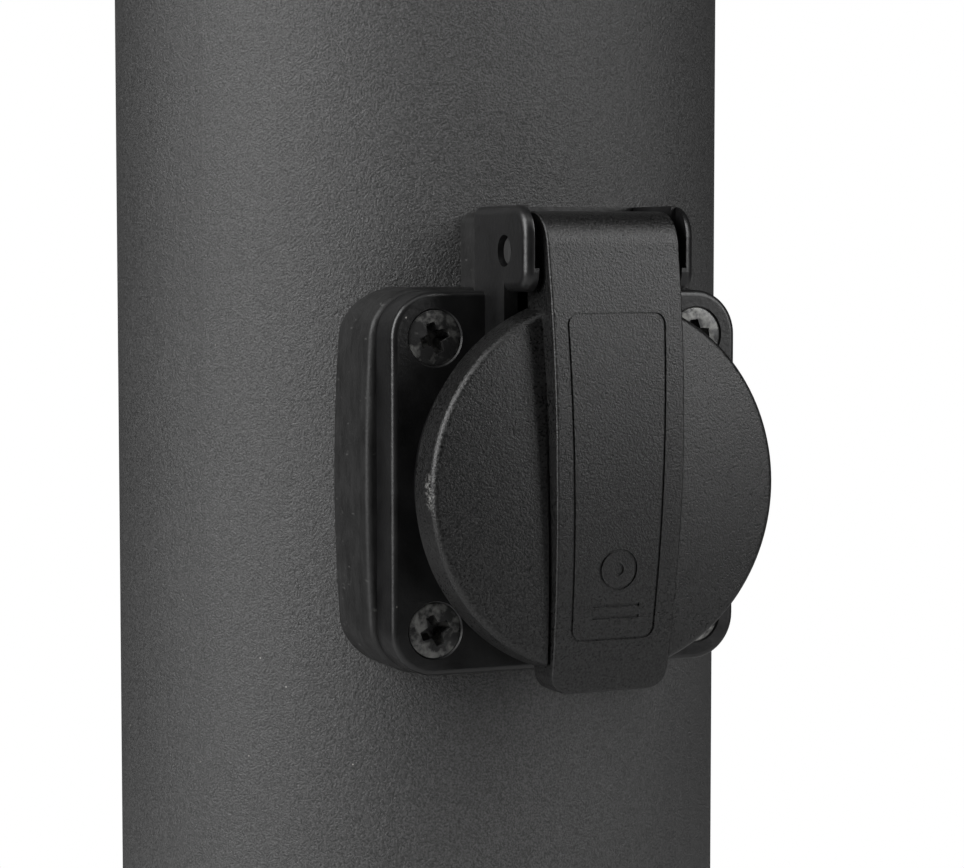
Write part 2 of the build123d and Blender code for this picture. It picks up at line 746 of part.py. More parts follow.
with BuildPart() as rcbo_terminal_screws:
    for side in (1, -1):
        screw_height = service_height + side * (breaker_height / 2 - 8)
        with BuildSketch(rearward(shoulder - screw_recess, screw_height)):
            with Locations((-contact_pitch / 2, 0), (contact_pitch / 2, 0)):
                Circle(clamp_screw / 2)
        extrude(amount=-3)
        with BuildSketch(rearward(shoulder - screw_recess, screw_height)):
            with Locations((-contact_pitch / 2, 0), (contact_pitch / 2, 0)):
                Rectangle(clamp_screw * 0.8, 0.8)
        extrude(amount=-1, mode=Mode.SUBTRACT)
rcbo_terminal_screws.part.label = "rcbo_terminal_screws"
export_step(rcbo_terminal_screws.part, "parts/rcbo_terminal_screws.step")

# ---------------------------------------------------------------------------------------
# Protective earth: rail terminal, stud on the chassis, nut with washer, ring lug
# ---------------------------------------------------------------------------------------
earth_side = breaker_width / 2 + 0.5 + earth_block_width / 2

with BuildPart() as earth_terminal:
    with BuildSketch(rail_profile()):
        with Locations((case_back + earth_block_depth / 2, 0)):
            RectangleRounded(earth_block_depth, earth_block_height, 1.5)
        for side in (1, -1):
            with BuildLine():
                Polyline(*hook_corners(side), close=True)
            make_face()
    extrude(amount=earth_side + earth_block_width / 2)
    with BuildSketch(rail_profile()):
        Rectangle(4 * earth_block_height, 4 * earth_block_height)
    extrude(amount=earth_side - earth_block_width / 2, mode=Mode.SUBTRACT)
    for side in (1, -1):
        with BuildSketch(Plane.XY.offset(service_height + side * earth_block_height / 2)):
            with Locations((earth_side, wire_plane)):
                Circle(terminal_radius)
        extrude(amount=-side * terminal_depth, mode=Mode.SUBTRACT)
earth_terminal.part.label = "earth_terminal"
export_step(earth_terminal.part, "parts/earth_terminal.step")

stud_length = 16.0
washer_thickness = 1.0
lug_thickness = 1.0
nut_height = 4.0

with BuildPart() as earth_stud:
    with BuildSketch(rearward(-chassis_depth, service_height)):
        with Locations((-stud_side, -stud_drop)):
            Circle(stud_diameter / 2)
    extrude(amount=stud_length)
earth_stud.part.label = "earth_stud"
export_step(earth_stud.part, "parts/earth_stud.step")

with BuildPart() as bond_lug:
    with BuildSketch(rearward(chassis_back, service_height)):
        with Locations((-stud_side, -stud_drop)):
            Circle(stud_diameter)
            Circle(stud_diameter / 2 + hole_gap, mode=Mode.SUBTRACT)
        with Locations((-stud_side, -stud_drop + stud_diameter + 3)):
            Rectangle(wire_diameter + 1, 8)
    extrude(amount=lug_thickness)
    barrel_height = stud_height + stud_diameter + 4
    with BuildSketch(Plane.XY.offset(barrel_height)):
        with Locations((stud_side, chassis_back + wire_diameter / 2 + lug_thickness)):
            Circle(wire_diameter / 2 + 0.8)
    extrude(amount=6)
    with BuildSketch(Plane.XY.offset(barrel_height)):
        with Locations((stud_side, chassis_back + wire_diameter / 2 + lug_thickness)):
            Circle(wire_diameter / 2 + skin_gap)
    extrude(amount=6, mode=Mode.SUBTRACT)
    with BuildSketch(rearward(chassis_back, service_height)):
        Rectangle(2 * chassis_half, chassis_length)
    extrude(amount=-wire_diameter, mode=Mode.SUBTRACT)
bond_lug.part.label = "bond_lug"
export_step(bond_lug.part, "parts/bond_lug.step")

with BuildPart() as earth_nuts:
    with BuildSketch(rearward(chassis_back + lug_thickness, service_height)):
        with Locations((-stud_side, -stud_drop)):
            Circle(stud_diameter)
            Circle(stud_diameter / 2 + thread_gap, mode=Mode.SUBTRACT)
    extrude(amount=washer_thickness)
    with BuildSketch(rearward(chassis_back + lug_thickness + washer_thickness, service_height)):
        with Locations((-stud_side, -stud_drop)):
            RegularPolygon(stud_diameter * 0.8, 6, major_radius=False)
            Circle(stud_diameter / 2 + thread_gap, mode=Mode.SUBTRACT)
    extrude(amount=nut_height)
earth_nuts.part.label = "earth_nuts"
export_step(earth_nuts.part, "parts/earth_nuts.step")

# ---------------------------------------------------------------------------------------
# Rubber saddle between the round post and the flat flange
# ---------------------------------------------------------------------------------------
with BuildPart() as saddle_gasket:
    with BuildSketch(outward(0)):
        with BuildLine():
            for side in (1, -1):
                Line((-gasket_half, side * gasket_half), (gasket_half, side * gasket_half))
                ThreePointArc(
                    (side * gasket_half, gasket_half),
                    (side * (gasket_half + gasket_bulge), 0),
                    (side * gasket_half, -gasket_half),
                )
        make_face()
        fillet(vertices(), gasket_corner)
    extrude(amount=flange_back)
    fillet(saddle_gasket.edges().group_by(Axis.Y)[0], gasket_edge)
    with BuildSketch(outward(0)):
        with Locations((0, (flange_half + tongue_top) / 2 - 1)):
            RectangleRounded(2 * tongue_half, tongue_top - flange_half + 2, tongue_corner)
    extrude(amount=web_back)
    with BuildSketch(outward(flange_back)):
        Rectangle(2 * flange_width, flange_width)
    extrude(amount=web_back - flange_back, mode=Mode.SUBTRACT)
    with BuildSketch(Plane.XY.offset(socket_height - flange_width)):
        Circle(post_radius + skin_gap)
    extrude(amount=2 * flange_width, mode=Mode.SUBTRACT)
    with BuildSketch(outward(0)):
        Circle(barrel_clear)
        with Locations(fixing_places):
            Circle(fixing_diameter / 2 + hole_gap)
    extrude(amount=flange_front, mode=Mode.SUBTRACT)
saddle_gasket.part.label = "saddle_gasket"
export_step(saddle_gasket.part, "parts/saddle_gasket.step")

# ---------------------------------------------------------------------------------------
# Socket housing: flange, hinge bracket, collar and rear barrel in one moulding
# ---------------------------------------------------------------------------------------
relief_front = cheek_front - 3.0    # the cheeks are thinner in front of this, above the step
relief_step = cheek_bottom + 3.0
relief_depth = 0.6


def on_cheek_front(edge):
    """True for the upright outer edges at the front of the hinge's cheeks."""
    centre = edge.center()
    return abs(abs(centre.X) - cheek_outer) < 0.01 and abs(centre.Y + cheek_front) < 0.01


def on_collar(edge):
    """True for the round edges of the collar's outside."""
    return edge.geom_type == GeomType.CIRCLE and abs(edge.radius - collar_diameter / 2) < 0.01


with BuildPart() as socket_housing:
    with BuildSketch(outward(flange_back)):
        RectangleRounded(flange_width, flange_width, flange_corner)
    extrude(amount=flange_front - flange_back)
    fillet(socket_housing.edges().group_by(Axis.Y)[0], flange_edge)
    with BuildSketch(upright()):
        with BuildLine():
            Polyline(
                (web_back, cheek_bottom - flange_corner),
                (web_back, cheek_top),
                (cheek_front, cheek_top),
                (cheek_front, cheek_bottom),
                (pin_depth, cheek_bottom),
                (pin_depth, leg_bottom),
                (web_back, leg_bottom),
                close=True,
            )
        make_face()
        fillet(vertices().group_by(Axis.X)[-1].sort_by(Axis.Y)[0], cheek_bottom_round)
        fillet(vertices().group_by(Axis.X)[-1].sort_by(Axis.Y)[-1], cheek_top_round)
    extrude(amount=cheek_outer, both=True)
    with BuildSketch(upright()):
        with BuildLine():
            Polyline(
                (web_front, cheek_top + 1),
                (cheek_front + 1, cheek_top + 1),
                (cheek_front + 1, leg_bottom - 1),
                (flange_front, leg_bottom - 1),
                (flange_front, cheek_bottom),
                (web_front, cheek_bottom),
                close=True,
            )
        make_face()
    extrude(amount=cheek_inner, both=True, mode=Mode.SUBTRACT)
    fillet(socket_housing.edges().filter_by(on_cheek_front), cheek_edge)
    with BuildSketch(outward(relief_front)):
        with Locations((0, (relief_step + cheek_top + 1) / 2)):
            Rectangle(2 * (cheek_inner + relief_depth), cheek_top + 1 - relief_step)
    extrude(amount=cheek_front - relief_front + 1, mode=Mode.SUBTRACT)
    with BuildSketch(upright()):
        with Locations((pin_depth, pin_rise)):
            Circle(pin_diameter / 2 + pin_gap)
    extrude(amount=cheek_outer, both=True, mode=Mode.SUBTRACT)
    with BuildSketch(outward(flange_back)):
        Circle(collar_diameter / 2)
    extrude(amount=collar_front - flange_back)
    with BuildSketch(outward(barrel_back)):
        Circle(barrel_diameter / 2)
    extrude(amount=flange_back - barrel_back)
    chamfer(socket_housing.edges().filter_by(on_collar).group_by(Axis.Y)[0], collar_edge)
    with BuildSketch(outward(barrel_back)):
        Circle(barrel_bore / 2)
    extrude(amount=collar_front - barrel_back, mode=Mode.SUBTRACT)
    with Locations(outward(flange_front)):
        with Locations(fixing_places):
            CounterSinkHole(
                radius=fixing_diameter / 2 + hole_gap,
                counter_sink_radius=fixing_head / 2 + 0.15,
                depth=flange_front,
                counter_sink_angle=90,
            )
socket_housing.part.label = "socket_housing"
export_step(socket_housing.part, "parts/socket_housing.step")

nut_plate_half = flange_half - nut_plate_inset
nut_plate_front = sqrt((tube_inner - skin_gap) ** 2 - nut_plate_half ** 2)

# Countersunk screws with a cross recess, through the flange into the plate in the tube
fixing_end = nut_plate_front - nut_plate_thickness - fixing_overrun
recess_arm = 4.2
recess_width = 1.3
recess_depth = 1.6
recess_turn = 20.0           # how the driver left the cross
head_top = flange_front - 0.05
head_cone = (fixing_head - fixing_diameter) / 2

with BuildPart() as flange_screws:
    with BuildSketch(outward(head_top)):
        with Locations(fixing_places):
            Circle(fixing_head / 2)
    extrude(amount=-head_cone, taper=45)
    with BuildSketch(outward(head_top - head_cone)):
        with Locations(fixing_places):
            Circle(fixing_diameter / 2)
    extrude(amount=-(head_top - head_cone - fixing_end))
    with BuildSketch(outward(head_top)):
        with Locations(fixing_places):
            Rectangle(recess_arm, recess_width, rotation=recess_turn)
            Rectangle(recess_width, recess_arm, rotation=recess_turn)
    extrude(amount=-recess_depth, mode=Mode.SUBTRACT)
flange_screws.part.label = "flange_screws"
export_step(flange_screws.part, "parts/flange_screws.step")

# Plate inside the tube that the screws pull against; its long edges rest on the wall
with BuildPart() as nut_plate:
    with BuildSketch(outward(nut_plate_front)):
        Rectangle(2 * nut_plate_half, flange_width)
        Circle(barrel_clear, mode=Mode.SUBTRACT)
        with Locations(fixing_places):
            Circle(fixing_diameter / 2 + thread_gap, mode=Mode.SUBTRACT)
    extrude(amount=-nut_plate_thickness)
nut_plate.part.label = "nut_plate"
export_step(nut_plate.part, "parts/nut_plate.step")

# ---------------------------------------------------------------------------------------
# Plug cavity: a round cup with a floor, two contact holes and slots for the earth arms
# ---------------------------------------------------------------------------------------
earth_arm_rise = cavity_diameter / 2 - earth_arm_inset
earth_arm_front = insert_front - earth_arm_sink
slot_half = earth_strip_width / 2 + hole_gap
slot_bottom = earth_arm_rise - earth_nip - hole_gap
slot_top = earth_arm_rise + earth_strip + 0.5
pillar_radius = 3.0
skirt_wall = 1.1
screw_x = back_screw_radius * cos(radians(45))
back_screw_places = [(-screw_x, screw_x), (screw_x, -screw_x)]
contact_places = [(-contact_pitch / 2, 0), (contact_pitch / 2, 0)]
arm_slot_places = [(0, (slot_bottom + slot_top) / 2), (0, -(slot_bottom + slot_top) / 2)]

with BuildPart() as socket_insert:
    with BuildSketch(outward(carrier_front)):
        Circle(insert_radius)
    extrude(amount=insert_front - carrier_front)
    with BuildSketch(outward(cavity_floor)):
        Circle(cavity_diameter / 2)
    extrude(amount=cavity_depth, mode=Mode.SUBTRACT)
    with BuildSketch(outward(carrier_front)):
        Circle(insert_radius - skirt_wall)
    extrude(amount=insert_back - carrier_front, mode=Mode.SUBTRACT)
    with BuildSketch(outward(insert_back)):
        Circle(shutter_pivot / 2)
    extrude(amount=-(insert_back - shutter_back))
    with BuildSketch(outward(insert_back)):
        with Locations(back_screw_places):
            Circle(pillar_radius)
    extrude(amount=-(insert_back - carrier_front))
    with BuildSketch(outward(carrier_front)):
        with Locations(back_screw_places):
            Circle(back_screw_diameter / 2 + thread_gap)
    extrude(amount=cavity_floor - carrier_front - 1, mode=Mode.SUBTRACT)
    with BuildSketch(outward(insert_back)):
        with Locations(contact_places):
            Circle(contact_hole / 2)
    extrude(amount=insert_floor, mode=Mode.SUBTRACT)
    with BuildSketch(outward(carrier_front)):
        with Locations(arm_slot_places):
            Rectangle(2 * slot_half, slot_top - slot_bottom)
    extrude(amount=cavity_floor - carrier_front, mode=Mode.SUBTRACT)
socket_insert.part.label = "socket_insert"
export_step(socket_insert.part, "parts/socket_insert.step")

# Turning guard behind the contact holes
with BuildPart() as shutter:
    with BuildSketch(outward(shutter_back)):
        RectangleRounded(shutter_span, shutter_arm, 1.5)
        Circle(shutter_hub)
        Circle(shutter_pivot / 2 + shutter_pivot_gap, mode=Mode.SUBTRACT)
    extrude(amount=shutter_thickness)
shutter.part.label = "shutter"
export_step(shutter.part, "parts/shutter.step")

# ---------------------------------------------------------------------------------------
# Contact carrier, contacts, earth clip, back cover
# ---------------------------------------------------------------------------------------
carrier_radius = barrel_bore / 2 - carrier_gap
flat_rise = earth_arm_rise - 0.3
pocket_depth = sleeve_back + 0.5

with BuildPart() as contact_carrier:
    with BuildSketch(outward(carrier_back)):
        Circle(carrier_radius)
        with Locations(contact_places):
            Circle(sleeve_outer / 2 + hole_gap, mode=Mode.SUBTRACT)
        with Locations(back_screw_places):
            Circle(back_screw_diameter / 2 + hole_gap, mode=Mode.SUBTRACT)
        with Locations((0, carrier_radius), (0, -carrier_radius)):
            Rectangle(2 * slot_half, 2 * (carrier_radius - flat_rise), mode=Mode.SUBTRACT)
    extrude(amount=carrier_front - carrier_back)
    with BuildSketch(outward(carrier_back)):
        with Locations(contact_places):
            Rectangle(terminal_side + 2 * hole_gap, terminal_side + 2 * hole_gap)
    extrude(amount=pocket_depth - carrier_back, mode=Mode.SUBTRACT)
contact_carrier.part.label = "contact_carrier"
export_step(contact_carrier.part, "parts/contact_carrier.step")

for contact_name, contact_side in (("live_contact", -1), ("neutral_contact", 1)):
    contact_x = contact_side * contact_pitch / 2
    with BuildPart() as contact:
        with BuildSketch(outward(terminal_back)):
            with Locations((contact_x, 0)):
                Rectangle(terminal_side, terminal_side)
        extrude(amount=sleeve_back - terminal_back)
        with BuildSketch(outward(sleeve_back)):
            with Locations((contact_x, 0)):
                Circle(sleeve_outer / 2)
        extrude(amount=carrier_front - sleeve_back)
        with BuildSketch(outward(sleeve_back)):
            with Locations((contact_x, 0)):
                Circle(sleeve_bore / 2)
                Rectangle(sleeve_slit, sleeve_outer + 1)
        extrude(amount=carrier_front - sleeve_back, mode=Mode.SUBTRACT)
        with BuildSketch(outward(terminal_back)):
            with Locations((contact_x, 0)):
                Circle(wire_diameter / 2 + skin_gap)
        extrude(amount=sleeve_back - terminal_back, mode=Mode.SUBTRACT)
    contact.part.label = contact_name
    export_step(contact.part, f"parts/{contact_name}.step")

# One bent strip: two arms in the cavity, joined behind the carrier
nose_depth = earth_arm_front - 3.0
arm_top = earth_arm_rise + earth_strip

with BuildPart() as earth_clip:
    with BuildSketch(upright()):
        for side in (1, -1):
            with BuildLine():
                Polyline(
                    (bridge_depth, 0),
                    (bridge_depth, side * arm_top),
                    (cavity_floor + 4, side * arm_top),
                    (nose_depth, side * (arm_top - earth_nip)),
                    (earth_arm_front, side * arm_top),
                    (earth_arm_front, side * earth_arm_rise),
                    (nose_depth, side * (earth_arm_rise - earth_nip)),
                    (cavity_floor + 4, side * earth_arm_rise),
                    (carrier_back, side * earth_arm_rise),
                    (carrier_back, 0),
                    close=True,
                )
            make_face()
    extrude(amount=earth_strip_width / 2, both=True)
    with BuildSketch(upright()):
        with Locations((bridge_depth - 2.5, 0)):
            Rectangle(5, 7)
    extrude(amount=3.4, both=True)
    with BuildSketch(outward(bridge_depth - 5)):
        Circle(wire_diameter / 2 + skin_gap)
    extrude(amount=4, mode=Mode.SUBTRACT)
earth_clip.part.label = "earth_clip"
export_step(earth_clip.part, "parts/earth_clip.step")

with BuildPart() as socket_back_cover:
    with BuildSketch(outward(back_cover_rear)):
        Circle(carrier_radius)
    extrude(amount=back_cover_thickness)
    with BuildSketch(outward(back_cover_front)):
        with Locations(back_screw_places):
            Circle(pillar_radius)
    extrude(amount=carrier_back - back_cover_front)
    with BuildSketch(outward(back_cover_rear)):
        with Locations(back_screw_places):
            Circle(back_screw_diameter / 2 + hole_gap)
        with Locations(contact_places):
            Circle(wire_diameter / 2 + hole_gap)
        Rectangle(8, 8)
    extrude(amount=carrier_back - back_cover_rear, mode=Mode.SUBTRACT)
socket_back_cover.part.label = "socket_back_cover"
export_step(socket_back_cover.part, "parts/socket_back_cover.step")

back_screw_head = 1.6

with BuildPart() as back_cover_screws:
    with BuildSketch(outward(back_cover_rear)):
        with Locations(back_screw_places):
            Circle(back_screw_diameter)
    extrude(amount=-back_screw_head)
    with BuildSketch(outward(back_cover_rear - back_screw_head)):
        with Locations(back_screw_places):
            Rectangle(back_screw_diameter * 1.3, 0.7)
            Rectangle(0.7, back_screw_diameter * 1.3)
    extrude(amount=back_screw_head * 0.6, mode=Mode.SUBTRACT)
    with BuildSketch(outward(back_cover_rear)):
        with Locations(back_screw_places):
            Circle(back_screw_diameter / 2)
    extrude(amount=insert_back - back_cover_rear)
back_cover_screws.part.label = "back_cover_screws"
export_step(back_cover_screws.part, "parts/back_cover_screws.step")

# ---------------------------------------------------------------------------------------
# Hinge pin and torsion spring
# ---------------------------------------------------------------------------------------
with BuildPart() as hinge_pin:
    with BuildSketch(upright()):
        with Locations((pin_depth, pin_rise)):
            Circle(pin_diameter / 2)
    extrude(amount=cheek_outer - pin_recess, both=True)
    chamfer(hinge_pin.edges(), 0.3)
hinge_pin.part.label = "hinge_pin"
export_step(hinge_pin.part, "parts/hinge_pin.step")

# The coil is close wound, one round turn beside the next; one leg rests on the web
spring_wire = 0.9
spring_turns = 8
coil_radius = pin_diameter / 2 + 0.15 + spring_wire / 2
coil_pitch = spring_wire * 0.95
coil_start = -coil_pitch * (spring_turns - 1) / 2

with BuildPart() as lid_spring:
    for turn in range(spring_turns):
        across = coil_start + turn * coil_pitch
        with BuildSketch(Plane(origin=(across, -pin_depth, pin_height), x_dir=(1, 0, 0), z_dir=(0, -1, 0))):
            with Locations((0, coil_radius)):
                Circle(spring_wire / 2)
        revolve(axis=Axis((0, -pin_depth, pin_height), (1, 0, 0)))
    with BuildSketch(Plane(origin=(coil_start, -pin_depth, pin_height + coil_radius), z_dir=(0, 1, 0))):
        Circle(spring_wire / 2)
    extrude(amount=pin_depth - web_front - seat_gap)
lid_spring.part.label = "lid_spring"
export_step(lid_spring.part, "parts/lid_spring.step")

# ---------------------------------------------------------------------------------------
# Lid: a shallow round cup with a bowed strap, the hinge knuckle and a finger tab
# ---------------------------------------------------------------------------------------
bow_centre = strap_crown - strap_bow


def bow_depth(rise):
    """Depth of the strap's bowed front at a height above the socket's centre."""
    return bow_centre + sqrt(strap_bow ** 2 - (rise - strap_crown_rise) ** 2)


nose_centre = bow_depth(pin_rise) - knuckle_radius
strap_top = pin_rise + knuckle_radius


def on_strap_side(edge):
    """True for the edges along the strap's two sides and its lower end."""
    return abs(edge.center().X) > strap_corner or edge.center().Z < socket_height

with BuildPart() as strap:
    with BuildSketch(upright()):
        with BuildLine():
            bow = ThreePointArc(
                (bow_depth(strap_bottom), strap_bottom),
                (strap_crown, strap_crown_rise),
                (bow_depth(pin_rise), pin_rise),
            )
            Polyline(
                bow @ 1,
                (pin_depth, pin_rise),
                (strap_back, pin_rise - knuckle_radius),
                (strap_back, strap_bottom),
                bow @ 0,
            )
        make_face()
        with Locations((pin_depth, pin_rise), (nose_centre, pin_rise)):
            Circle(knuckle_radius)
        with Locations(((pin_depth + nose_centre) / 2, pin_rise)):
            Rectangle(nose_centre - pin_depth, 2 * knuckle_radius)
    extrude(amount=strap_top_half + 1, both=True)
    with BuildSketch(outward(0)):
        with BuildLine():
            right = ThreePointArc(
                (strap_bottom_half, strap_bottom), (strap_middle_half, 1), (strap_top_half, strap_top)
            )
            left = ThreePointArc(
                (-strap_bottom_half, strap_bottom), (-strap_middle_half, 1), (-strap_top_half, strap_top)
            )
            Line(right @ 0, left @ 0)
            Line(right @ 1, left @ 1)
        make_face()
        fillet(vertices().group_by(Axis.Y)[0], strap_corner)
    extrude(amount=strap_crown + 1, mode=Mode.INTERSECT)
    fillet(strap.faces().sort_by(Axis.Y)[0].edges().filter_by(on_strap_side), strap_edge)

with BuildPart() as lid:
    with BuildSketch(outward(lid_face)):
        Circle(lid_diameter / 2)
    extrude(amount=lid_back - lid_face, taper=-lid_draft)
    with Locations((0, lid_dome - lid_face, socket_height + lid_dome_rise)):
        Sphere(lid_dome, mode=Mode.INTERSECT)
    fillet(lid.edges().sort_by(Axis.Y)[0], lid_edge)
    add(strap.part)
    with BuildSketch(outward(lid_back - 1)):
        Circle(lid_bore / 2)
    extrude(amount=lid_ceiling - lid_back + 1, mode=Mode.SUBTRACT)
    with BuildSketch(upright()):
        with Locations((pin_depth, pin_rise)):
            Circle(pin_diameter / 2 + lid_pin_gap)
    extrude(amount=cheek_outer, both=True, mode=Mode.SUBTRACT)
    with BuildSketch(upright()):
        with Locations((pin_depth, pin_rise)):
            Circle(spring_slot_radius)
        with Locations((pin_depth - spring_slot_radius, pin_rise)):
            Rectangle(2 * spring_slot_radius, 4 * spring_slot_radius)
    extrude(amount=spring_slot_half, both=True, mode=Mode.SUBTRACT)
lid.part.label = "lid"
export_step(lid.part, "parts/lid.step")

with BuildPart() as lid_seal:
    with BuildSketch(outward(seal_back)):
        Circle(seal_outer / 2)
        Circle(seal_inner / 2, mode=Mode.SUBTRACT)
    extrude(amount=lid_ceiling - seal_back)
lid_seal.part.label = "lid_seal"
export_step(lid_seal.part, "parts/lid_seal.step")

# ---------------------------------------------------------------------------------------
# Wires inside the post: straight runs joined by tangent arcs
# ---------------------------------------------------------------------------------------
contact_wire_start = terminal_back + 3.0
breaker_entry = service_height + breaker_height / 2 - terminal_depth / 2
earth_entry = service_height + earth_block_height / 2 - terminal_depth / 2
lug_seat = chassis_back + wire_diameter / 2 + lug_thickness


def wire(points, radii):
    """A round wire along straight runs with a rounded corner at each inner point."""
    with BuildPart() as strand:
        with BuildLine() as route:
            FilletPolyline(*points, radius=radii)
        start = route.line @ 0
        heading = route.line % 0
        with BuildSketch(Plane(origin=start, z_dir=heading)):
            Circle(wire_diameter / 2)
        sweep(path=route.line)
    return strand


wire_live = wire(
    [
        (contact_places[0][0], -contact_wire_start, socket_height),
        (contact_places[0][0], wire_plane, socket_height),
        (contact_places[0][0], wire_plane, breaker_entry),
    ],
    [wire_bend],
)
wire_live.part.label = "wire_live"
export_step(wire_live.part, "parts/wire_live.step")

wire_neutral = wire(
    [
        (contact_places[1][0], -contact_wire_start, socket_height),
        (contact_places[1][0], wire_plane, socket_height),
        (contact_places[1][0], wire_plane, breaker_entry),
    ],
    [wire_bend],
)
wire_neutral.part.label = "wire_neutral"
export_step(wire_neutral.part, "parts/wire_neutral.step")

# The earth wire first runs down behind the socket, then slants to its terminal
earth_bow = 10.0             # how far it runs to the rear before it turns down
earth_fall = socket_height - earth_entry
earth_turn_high = socket_height - 0.27 * earth_fall
earth_turn_low = earth_entry + 0.36 * earth_fall

wire_earth = wire(
    [
        (0, -bridge_depth + 1.5, socket_height),
        (0, earth_bow, socket_height),
        (0, earth_bow, earth_turn_high),
        (earth_side, wire_plane, earth_turn_low),
        (earth_side, wire_plane, earth_entry),
    ],
    [wire_bend, 2 * wire_bend, 2 * wire_bend],
)
wire_earth.part.label = "wire_earth"
export_step(wire_earth.part, "parts/wire_earth.step")

wire_bond = wire(
    [
        (earth_side, wire_plane, service_height - earth_block_height / 2 + terminal_depth / 2),
        (earth_side, wire_plane, service_height - earth_block_height / 2 - 20),
        (stud_side, lug_seat, stud_height + 35),
        (stud_side, lug_seat, barrel_height + 1),
    ],
    [wire_bend, wire_bend],
)
wire_bond.part.label = "wire_bond"
export_step(wire_bond.part, "parts/wire_bond.step")
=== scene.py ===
import json
from math import asin, cos, pi, radians, sin, sqrt, tan

import bmesh
import bpy
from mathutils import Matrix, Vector


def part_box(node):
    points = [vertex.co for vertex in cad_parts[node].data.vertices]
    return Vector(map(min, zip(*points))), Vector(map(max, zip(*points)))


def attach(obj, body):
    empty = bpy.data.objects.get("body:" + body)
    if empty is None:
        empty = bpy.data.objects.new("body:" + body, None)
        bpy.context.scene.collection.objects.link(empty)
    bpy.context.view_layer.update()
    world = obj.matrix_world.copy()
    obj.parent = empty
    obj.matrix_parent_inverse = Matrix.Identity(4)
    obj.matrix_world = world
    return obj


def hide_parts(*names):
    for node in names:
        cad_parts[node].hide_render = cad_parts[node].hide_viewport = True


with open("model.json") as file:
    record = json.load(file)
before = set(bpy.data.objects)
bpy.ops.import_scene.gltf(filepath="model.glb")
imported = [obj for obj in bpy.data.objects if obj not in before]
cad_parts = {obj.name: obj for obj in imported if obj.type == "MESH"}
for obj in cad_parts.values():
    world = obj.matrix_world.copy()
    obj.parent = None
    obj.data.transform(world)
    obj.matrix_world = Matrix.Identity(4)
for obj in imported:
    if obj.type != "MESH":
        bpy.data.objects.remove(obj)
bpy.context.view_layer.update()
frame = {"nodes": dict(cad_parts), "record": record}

MM = 0.001

# Places taken from the frame
lid_joint = next(j for j in frame["record"]["behaviour"]["joints"] if j["name"] == "lid_hinge")
pin = Vector(lid_joint["pos_m"])
lid_low, lid_high = (Vector(c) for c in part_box("lid"))
seal_low, seal_high = (Vector(c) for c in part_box("lid_seal"))
insert_low, insert_high = (Vector(c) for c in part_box("socket_insert"))
screws_low, screws_high = (Vector(c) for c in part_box("flange_screws"))
spring_low, spring_high = (Vector(c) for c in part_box("lid_spring"))
socket_z = (insert_low.z + insert_high.z) / 2

# Lid and strap, in metres. A depth is a distance in front of the post's axis and a rise
# is a height above the socket's centre.
lid_gap = 0.6 * MM              # the lid's rim in front of the pin
strap_proud = 1.9 * MM          # the strap in front of the lid's face
seal_room = 0.4 * MM            # the bore beside the seal
pin_depth = -pin.y
pin_rise = pin.z - socket_z
rim_radius = lid_high.x
rim_depth = pin_depth + lid_gap
draft = radians(3.5)
strap_crown = -lid_low.y
strap_crown_rise = 5 * MM
strap_radius = 143 * MM
strap_bottom = lid_low.z - socket_z
strap_top = lid_high.z - socket_z
strap_halves = ((strap_bottom, 8.15 * MM), (1 * MM, 8.95 * MM), (strap_top, 9.35 * MM))
strap_corner = 2.5 * MM
strap_edge = 0.45 * MM
knuckle_radius = lid_high.z - pin.z
face_crown = strap_crown - strap_proud
face_radius = 143 * MM
face_tilt = radians(1.0)
face_edge = 1.1 * MM
rim_round = 0.3 * MM
face_side = rim_radius - (face_crown - rim_depth) * tan(draft)
bore_radius = seal_high.x + seal_room
ceiling = -seal_low.y
mark_draw = Vector((0, -10 * MM, 0))
round_steps = 144


# ---------------------------------------------------------------------------------------
# Camera, floor and light
# ---------------------------------------------------------------------------------------
def set_camera():
    """Stands to the left of the socket, a little above it, and looks slightly down."""
    data = bpy.data.cameras.new("camera")
    data.lens = 98.64
    data.sensor_width = 36.0
    data.clip_start = 0.01
    data.clip_end = 50.0
    eye = bpy.data.objects.new("camera", data)
    eye.location = (-0.1492, -0.3680, socket_z + 0.0294)
    aim = Vector((0.009034, -0.003928, socket_z + 0.002809))
    eye.rotation_euler = (aim - eye.location).to_track_quat("-Z", "Y").to_euler()
    bpy.context.scene.collection.objects.link(eye)
    bpy.context.scene.camera = eye


def softbox(name, place, aim, width, height, power):
    """A square-cornered lamp at a place, turned to its aim; metres and watts."""
    data = bpy.data.lights.new(name, "AREA")
    data.shape = "RECTANGLE"
    data.size = width
    data.size_y = height
    data.energy = power
    lamp = bpy.data.objects.new(name, data)
    lamp.location = place
    lamp.rotation_euler = (Vector(aim) - Vector(place)).to_track_quat("-Z", "Y").to_euler()
    bpy.context.scene.collection.objects.link(lamp)


